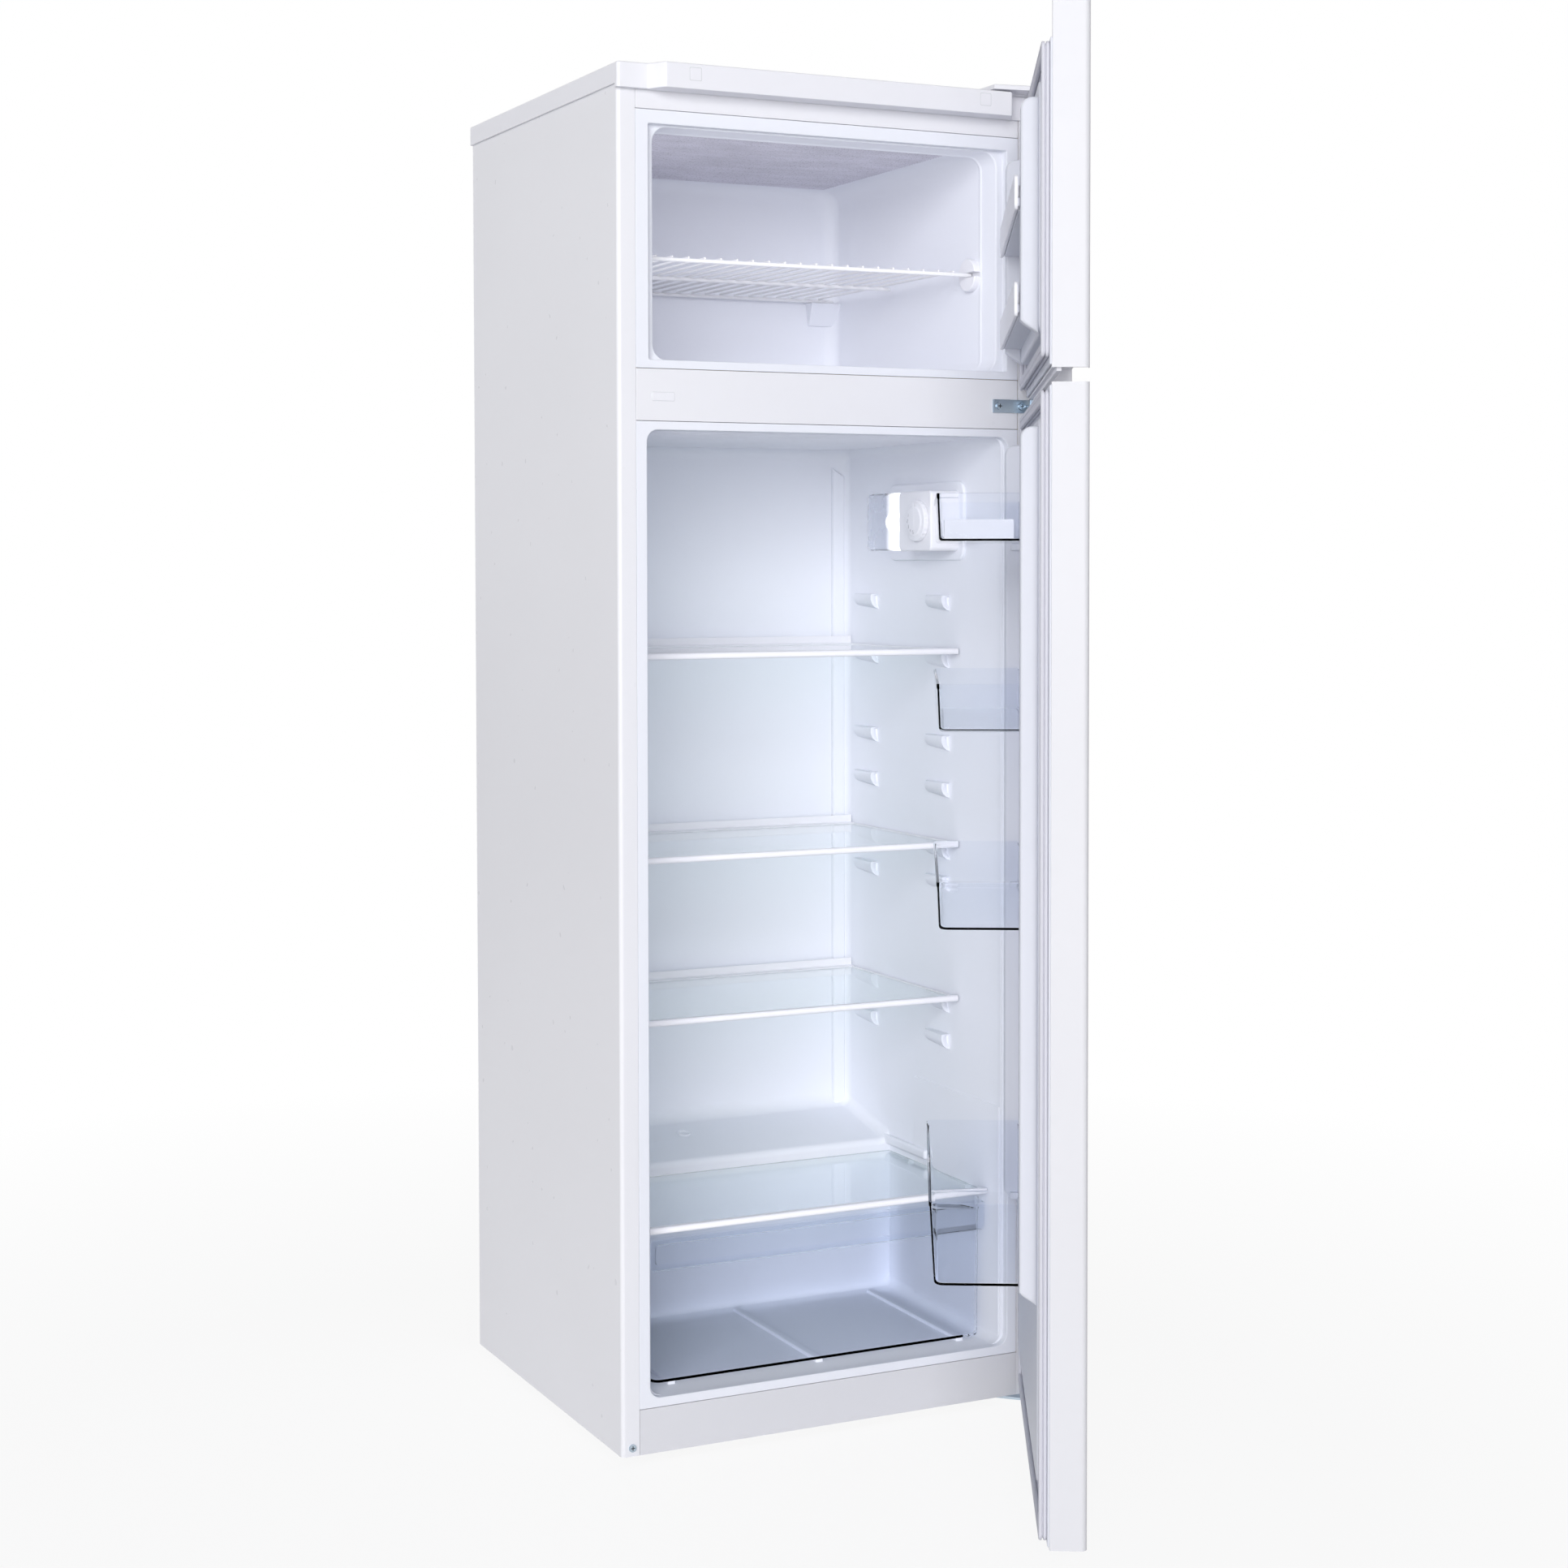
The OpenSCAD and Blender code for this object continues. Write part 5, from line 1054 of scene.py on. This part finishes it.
def core(grip=False, back=()):
    """Plan of what lies inside a door's skin, notched for the grip or in its back."""
    t = SHEET + 0.03
    left = arc(CORNER, SKIN_Y + CORNER, CORNER - t, 180, 270, 6)
    notch = [(GRIP_X0, SKIN_Y + t), (GRIP_X0, GRIP_Y), (GRIP_X1, GRIP_Y), (GRIP_X1, SKIN_Y + t)]
    plan = left + (notch if grip else []) + mirrored(left)
    return plan + [(CAB_W - t, CORE_Y), *back, (t, CORE_Y)]


def door_back(s, z0, z1, panel_x, panel_z0, panel_z1, rib_z0, rib_z1):
    """Door liner: back plate, raised panel and its two side ribs."""
    def ring(x, a, b, r, y):
        return at_y(rrect(x, CAB_W - x, a, b, r, 6), y)

    def panel(d, y):
        return ring(panel_x + d, panel_z0 + d, panel_z1 - d, 12 - d, y)

    y0 = BACK_Y + 0.02
    loops = [ring(2, z0, z1, 1, y0), ring(2, z0, z1, 1, y0 + 1.4)]
    loops += [ring(2.6, z0 + 0.6, z1 - 0.6, 1, y0 + 2)]
    loops += [panel(-1.6 * (1 - b), y0 + 2 + 1.6 * a) for a, b in quarter(3)]
    loops += [panel(3.4 * a, -3 + 3.4 * b) for a, b in quarter(5)]
    s.loft(loops)
    rib_w = 23
    rib = [(-0.4, rib_z0 - 10), (14.8, rib_z0), (18.8, rib_z0 + 4)]
    rib += arc(6.8, rib_z1 - 12, 12, 0, 90, 8) + [(-0.4, rib_z1)]
    for x in (panel_x, CAB_W - panel_x - rib_w):
        s.prism(rib, at_x, x, x + rib_w, 3.6, 3.6, 5)


def gasket(name, body, node, z0, z1):
    """Magnetic seal with a grooved face and mitred corners."""
    section = [
        (0.9, -8.8), (0, -7.6), (0.3, -5.4), (2.4, -4.9), (2.4, -4.1), (0.3, -3.7), (0, -1.7),
        (0.9, -0.5), (4.2, -0.3), (5.2, -0.4), (6.0, -1.3), (6.8, -0.4), (7.8, -0.3),
        (13.1, -0.5), (14, -1.7), (13.7, -3.7), (11.6, -4.1), (11.6, -4.9), (13.7, -5.4),
        (14, -7.6), (13.1, -8.8),
    ]
    s = Solid()
    s.loft(
        [
            at_y(rrect(8 + u, CAB_W - 8 - u, z0 + u, z1 - u, max(1.6, 7 - u), 4), y)
            for u, y in section
        ],
        ring=True,
    )
    make(name, s, body, "gasket", node, door=True)


def tray(s, y1, z, h, lean):
    """Open tray with a rolled rim, its front leaning out."""
    t = 2.2

    def ring(d, zz):
        front = y1 - lean * (1 - (zz - z) / h)
        near, far = max(1, 3 - d), max(2, 11 - d)
        x0, x1 = TRAY_X0 + d, TRAY_X1 - d
        return at_z(rrect(x0, x1, TRAY_Y0 + d, front - d, (near, far, far, near), 6), zz)

    top = z + h
    rim = (
        (0.8, -6), (0.2, -5), (0, -4.2), (0, -1), (0.3, -0.3), (1, 0), (t + 0.2, 0),
        (t + 0.9, -0.3), (t + 1.1, -1), (t + 1.1, -4.5), (t + 0.8, -5.5),
    )
    loops = [ring(0.8 + 3.2 * (1 - b), z + 3.2 * a) for a, b in quarter(4)]
    loops += [ring(d, top + dz) for d, dz in rim] + [ring(t + 0.8, z + t + 3)]
    loops += [ring(t + 0.8 + 3 * a, z + t + 3 - 3 * b) for a, b in quarter(3)]
    s.loft(loops)


def fridge_door():
    """Lower door, with its liner, seal and clear trays."""
    grip_z = LOW_Z1 - GRIP_H
    s = Solid()
    door_skin(s, LOW_Z0, grip_z)
    door_skin(s, grip_z, LOW_Z1, grip=True)
    # the sheet in the darker copy of the cabinet's steel: painted shade
    make("fridge_door_sheet", s, "fridge_door", "white_steel", "fridge_door_skin", door=True,
         mat="steel_painted_shade")
    s = Solid()
    s.prism(core(), at_z, LOW_Z0 + 0.4, LOW_Z0 + CAP_H, 0.6, 0)
    s.prism(core(), at_z, LOW_Z1 - CAP_H, grip_z)
    s.prism(core(grip=True), at_z, grip_z - 0.02, LOW_Z1 - 0.6, 0, 0.8)
    make("fridge_door_ends", s, "fridge_door", "white_plastic", "fridge_door_caps", door=True)
    s = Solid()
    door_back(s, LOW_Z0 + 3, LOW_Z1 - 3, 43, 76, 1188.5, 273.3, 1180)
    for z in (*BALCONIES, BOTTLE_Z):
        for x in (65, 479):
            s.block(x, x + 6, -0.4, 12.4, z - 8.3, z - 0.3, 1.2, 3)
    # the liner in the darker copy of the liner plastic: painted shade
    make("fridge_door_inside", s, "fridge_door", "liner_plastic", "fridge_door_liner", door=True,
         mat="door_liner_painted_shade")
    gasket("fridge_seal", "fridge_door", "fridge_door_gasket", 28, 1215.2)
    s = Solid()
    for z in BALCONIES:
        tray(s, 105, z, 50, 2)
    make("balcony_trays", s, "fridge_door", "clear_plastic", "door_balconies", door=True)
    s = Solid()
    tray(s, 113, BOTTLE_Z, 88, 5)
    make("bottle_tray", s, "fridge_door", "clear_plastic", "bottle_shelf", door=True)


def freezer_door():
    """Upper door, with its liner, seal and guard rails."""
    grip_z = UP_Z0 + GRIP_H
    s = Solid()
    door_skin(s, grip_z, UP_Z1)
    door_skin(s, UP_Z0, grip_z, grip=True)
    # the sheet in the darker copy of the cabinet's steel: painted shade
    make("freezer_door_sheet", s, "freezer_door", "white_steel", "freezer_door_skin", door=True,
         mat="steel_painted_shade")
    s = Solid()
    # the top end leaves room for the worktop's bow
    x0, x1, y0 = 24, 523, -33
    room = [(x1, CORE_Y), (x1, y0), (x0, y0), (x0, CORE_Y)]
    s.prism(core(back=room), at_z, UP_CORE1 - 0.02, UP_Z1 - 0.6, 0, 0.8)
    x0, x1, y0, y1 = x0 - 0.1, x1 + 0.1, y0 - 0.1, CORE_Y - 0.1
    floor = [(x0, y0), (x1, y0), (x1, y1), (x0, y1)]
    s.prism(floor, at_z, UP_CORE1 + 0.05, UP_CORE1 + 0.35)
    s.prism(core(), at_z, grip_z, UP_Z0 + CAP_H)
    s.prism(core(grip=True), at_z, UP_Z0 + 0.6, grip_z + 0.02, 0.6, 0)
    s.block(8, 517, -21.4, -16, UP_Z0 - 3.4, UP_Z0 + 2, 0.8)
    s.block(304.2, 517, -42.7, -16.2, UP_Z0 - 3.4, UP_Z0 + 2, 0.8)
    make("freezer_door_ends", s, "freezer_door", "white_plastic", "freezer_door_caps", door=True)
    s = Solid()
    door_back(s, UP_Z0 + 3, UP_CORE1, 51, 1276, 1536, 1286, 1519)
    for z in GUARDS:
        s.block(73, 477, -0.4, 20.8, z - 6, z, 1.4, 3)
    # the liner in the darker copy of the liner plastic: painted shade
    make("freezer_door_inside", s, "freezer_door", "liner_plastic", "freezer_door_liner", door=True,
         mat="door_liner_painted_shade")
    gasket("freezer_seal", "freezer_door", "freezer_door_gasket", 1248.3, 1568)
    s = Solid()
    for z in GUARDS:
        s.prism(rrect(55, 495, z - 6, z + 30, 6), at_y, 21.1, 25.1, 0.9, 1.2)
        for x in (66, 474):
            s.block(x, x + 6, 18.9, 21.6, z + 8, z + 20, 0.8, 2)
    make("freezer_door_guards", s, "freezer_door", "white_plastic", "freezer_door_rails", door=True)


worktop()
shell()
fridge_space()
freezer_space()
feet()
for n, (body, seat) in enumerate(zip(("top_shelf", "middle_shelf", "lower_shelf"), SHELF_SEATS)):
    shelf(n + 1, body, seat)
crisper()
screw_recess_shade()
wire_shelf()
control_housing()
dial()
lamp()
fridge_door()
freezer_door()


# ---------------------------------------------------------------- scene
bpy.context.scene.view_settings.view_transform = "Standard"
make_floor()
make_world(0.34)
soft_lamp("key", (-5.2, -8.3, 2.7), (0.2, 0.1, 0.85), 6.5, 4.6, 765)
soft_lamp("side", (-7.4, -0.6, 2.6), (0.1, 0.2, 0.85), 4.0, 4.2, 25)
# faint lamps that nothing reflects: one in each opening, one at the freezer's left wall
for name, at, aim, width, height, power in (
    ("fridge_light", (MID_X, 4, 632), (MID_X, 400, 632), 0.44, 1.08, 0.43),
    ("freezer_light", (MID_X, 4, 1406), (MID_X, 400, 1406), 0.44, 0.25, 0.12),
    ("freezer_wall_light", (60, 170, 1406), (FZ_X1, 170, 1440), 0.2, 0.24, 0.1),
):
    soft_lamp(name, row(*at), row(*aim), width, height, power, shines_back=False)
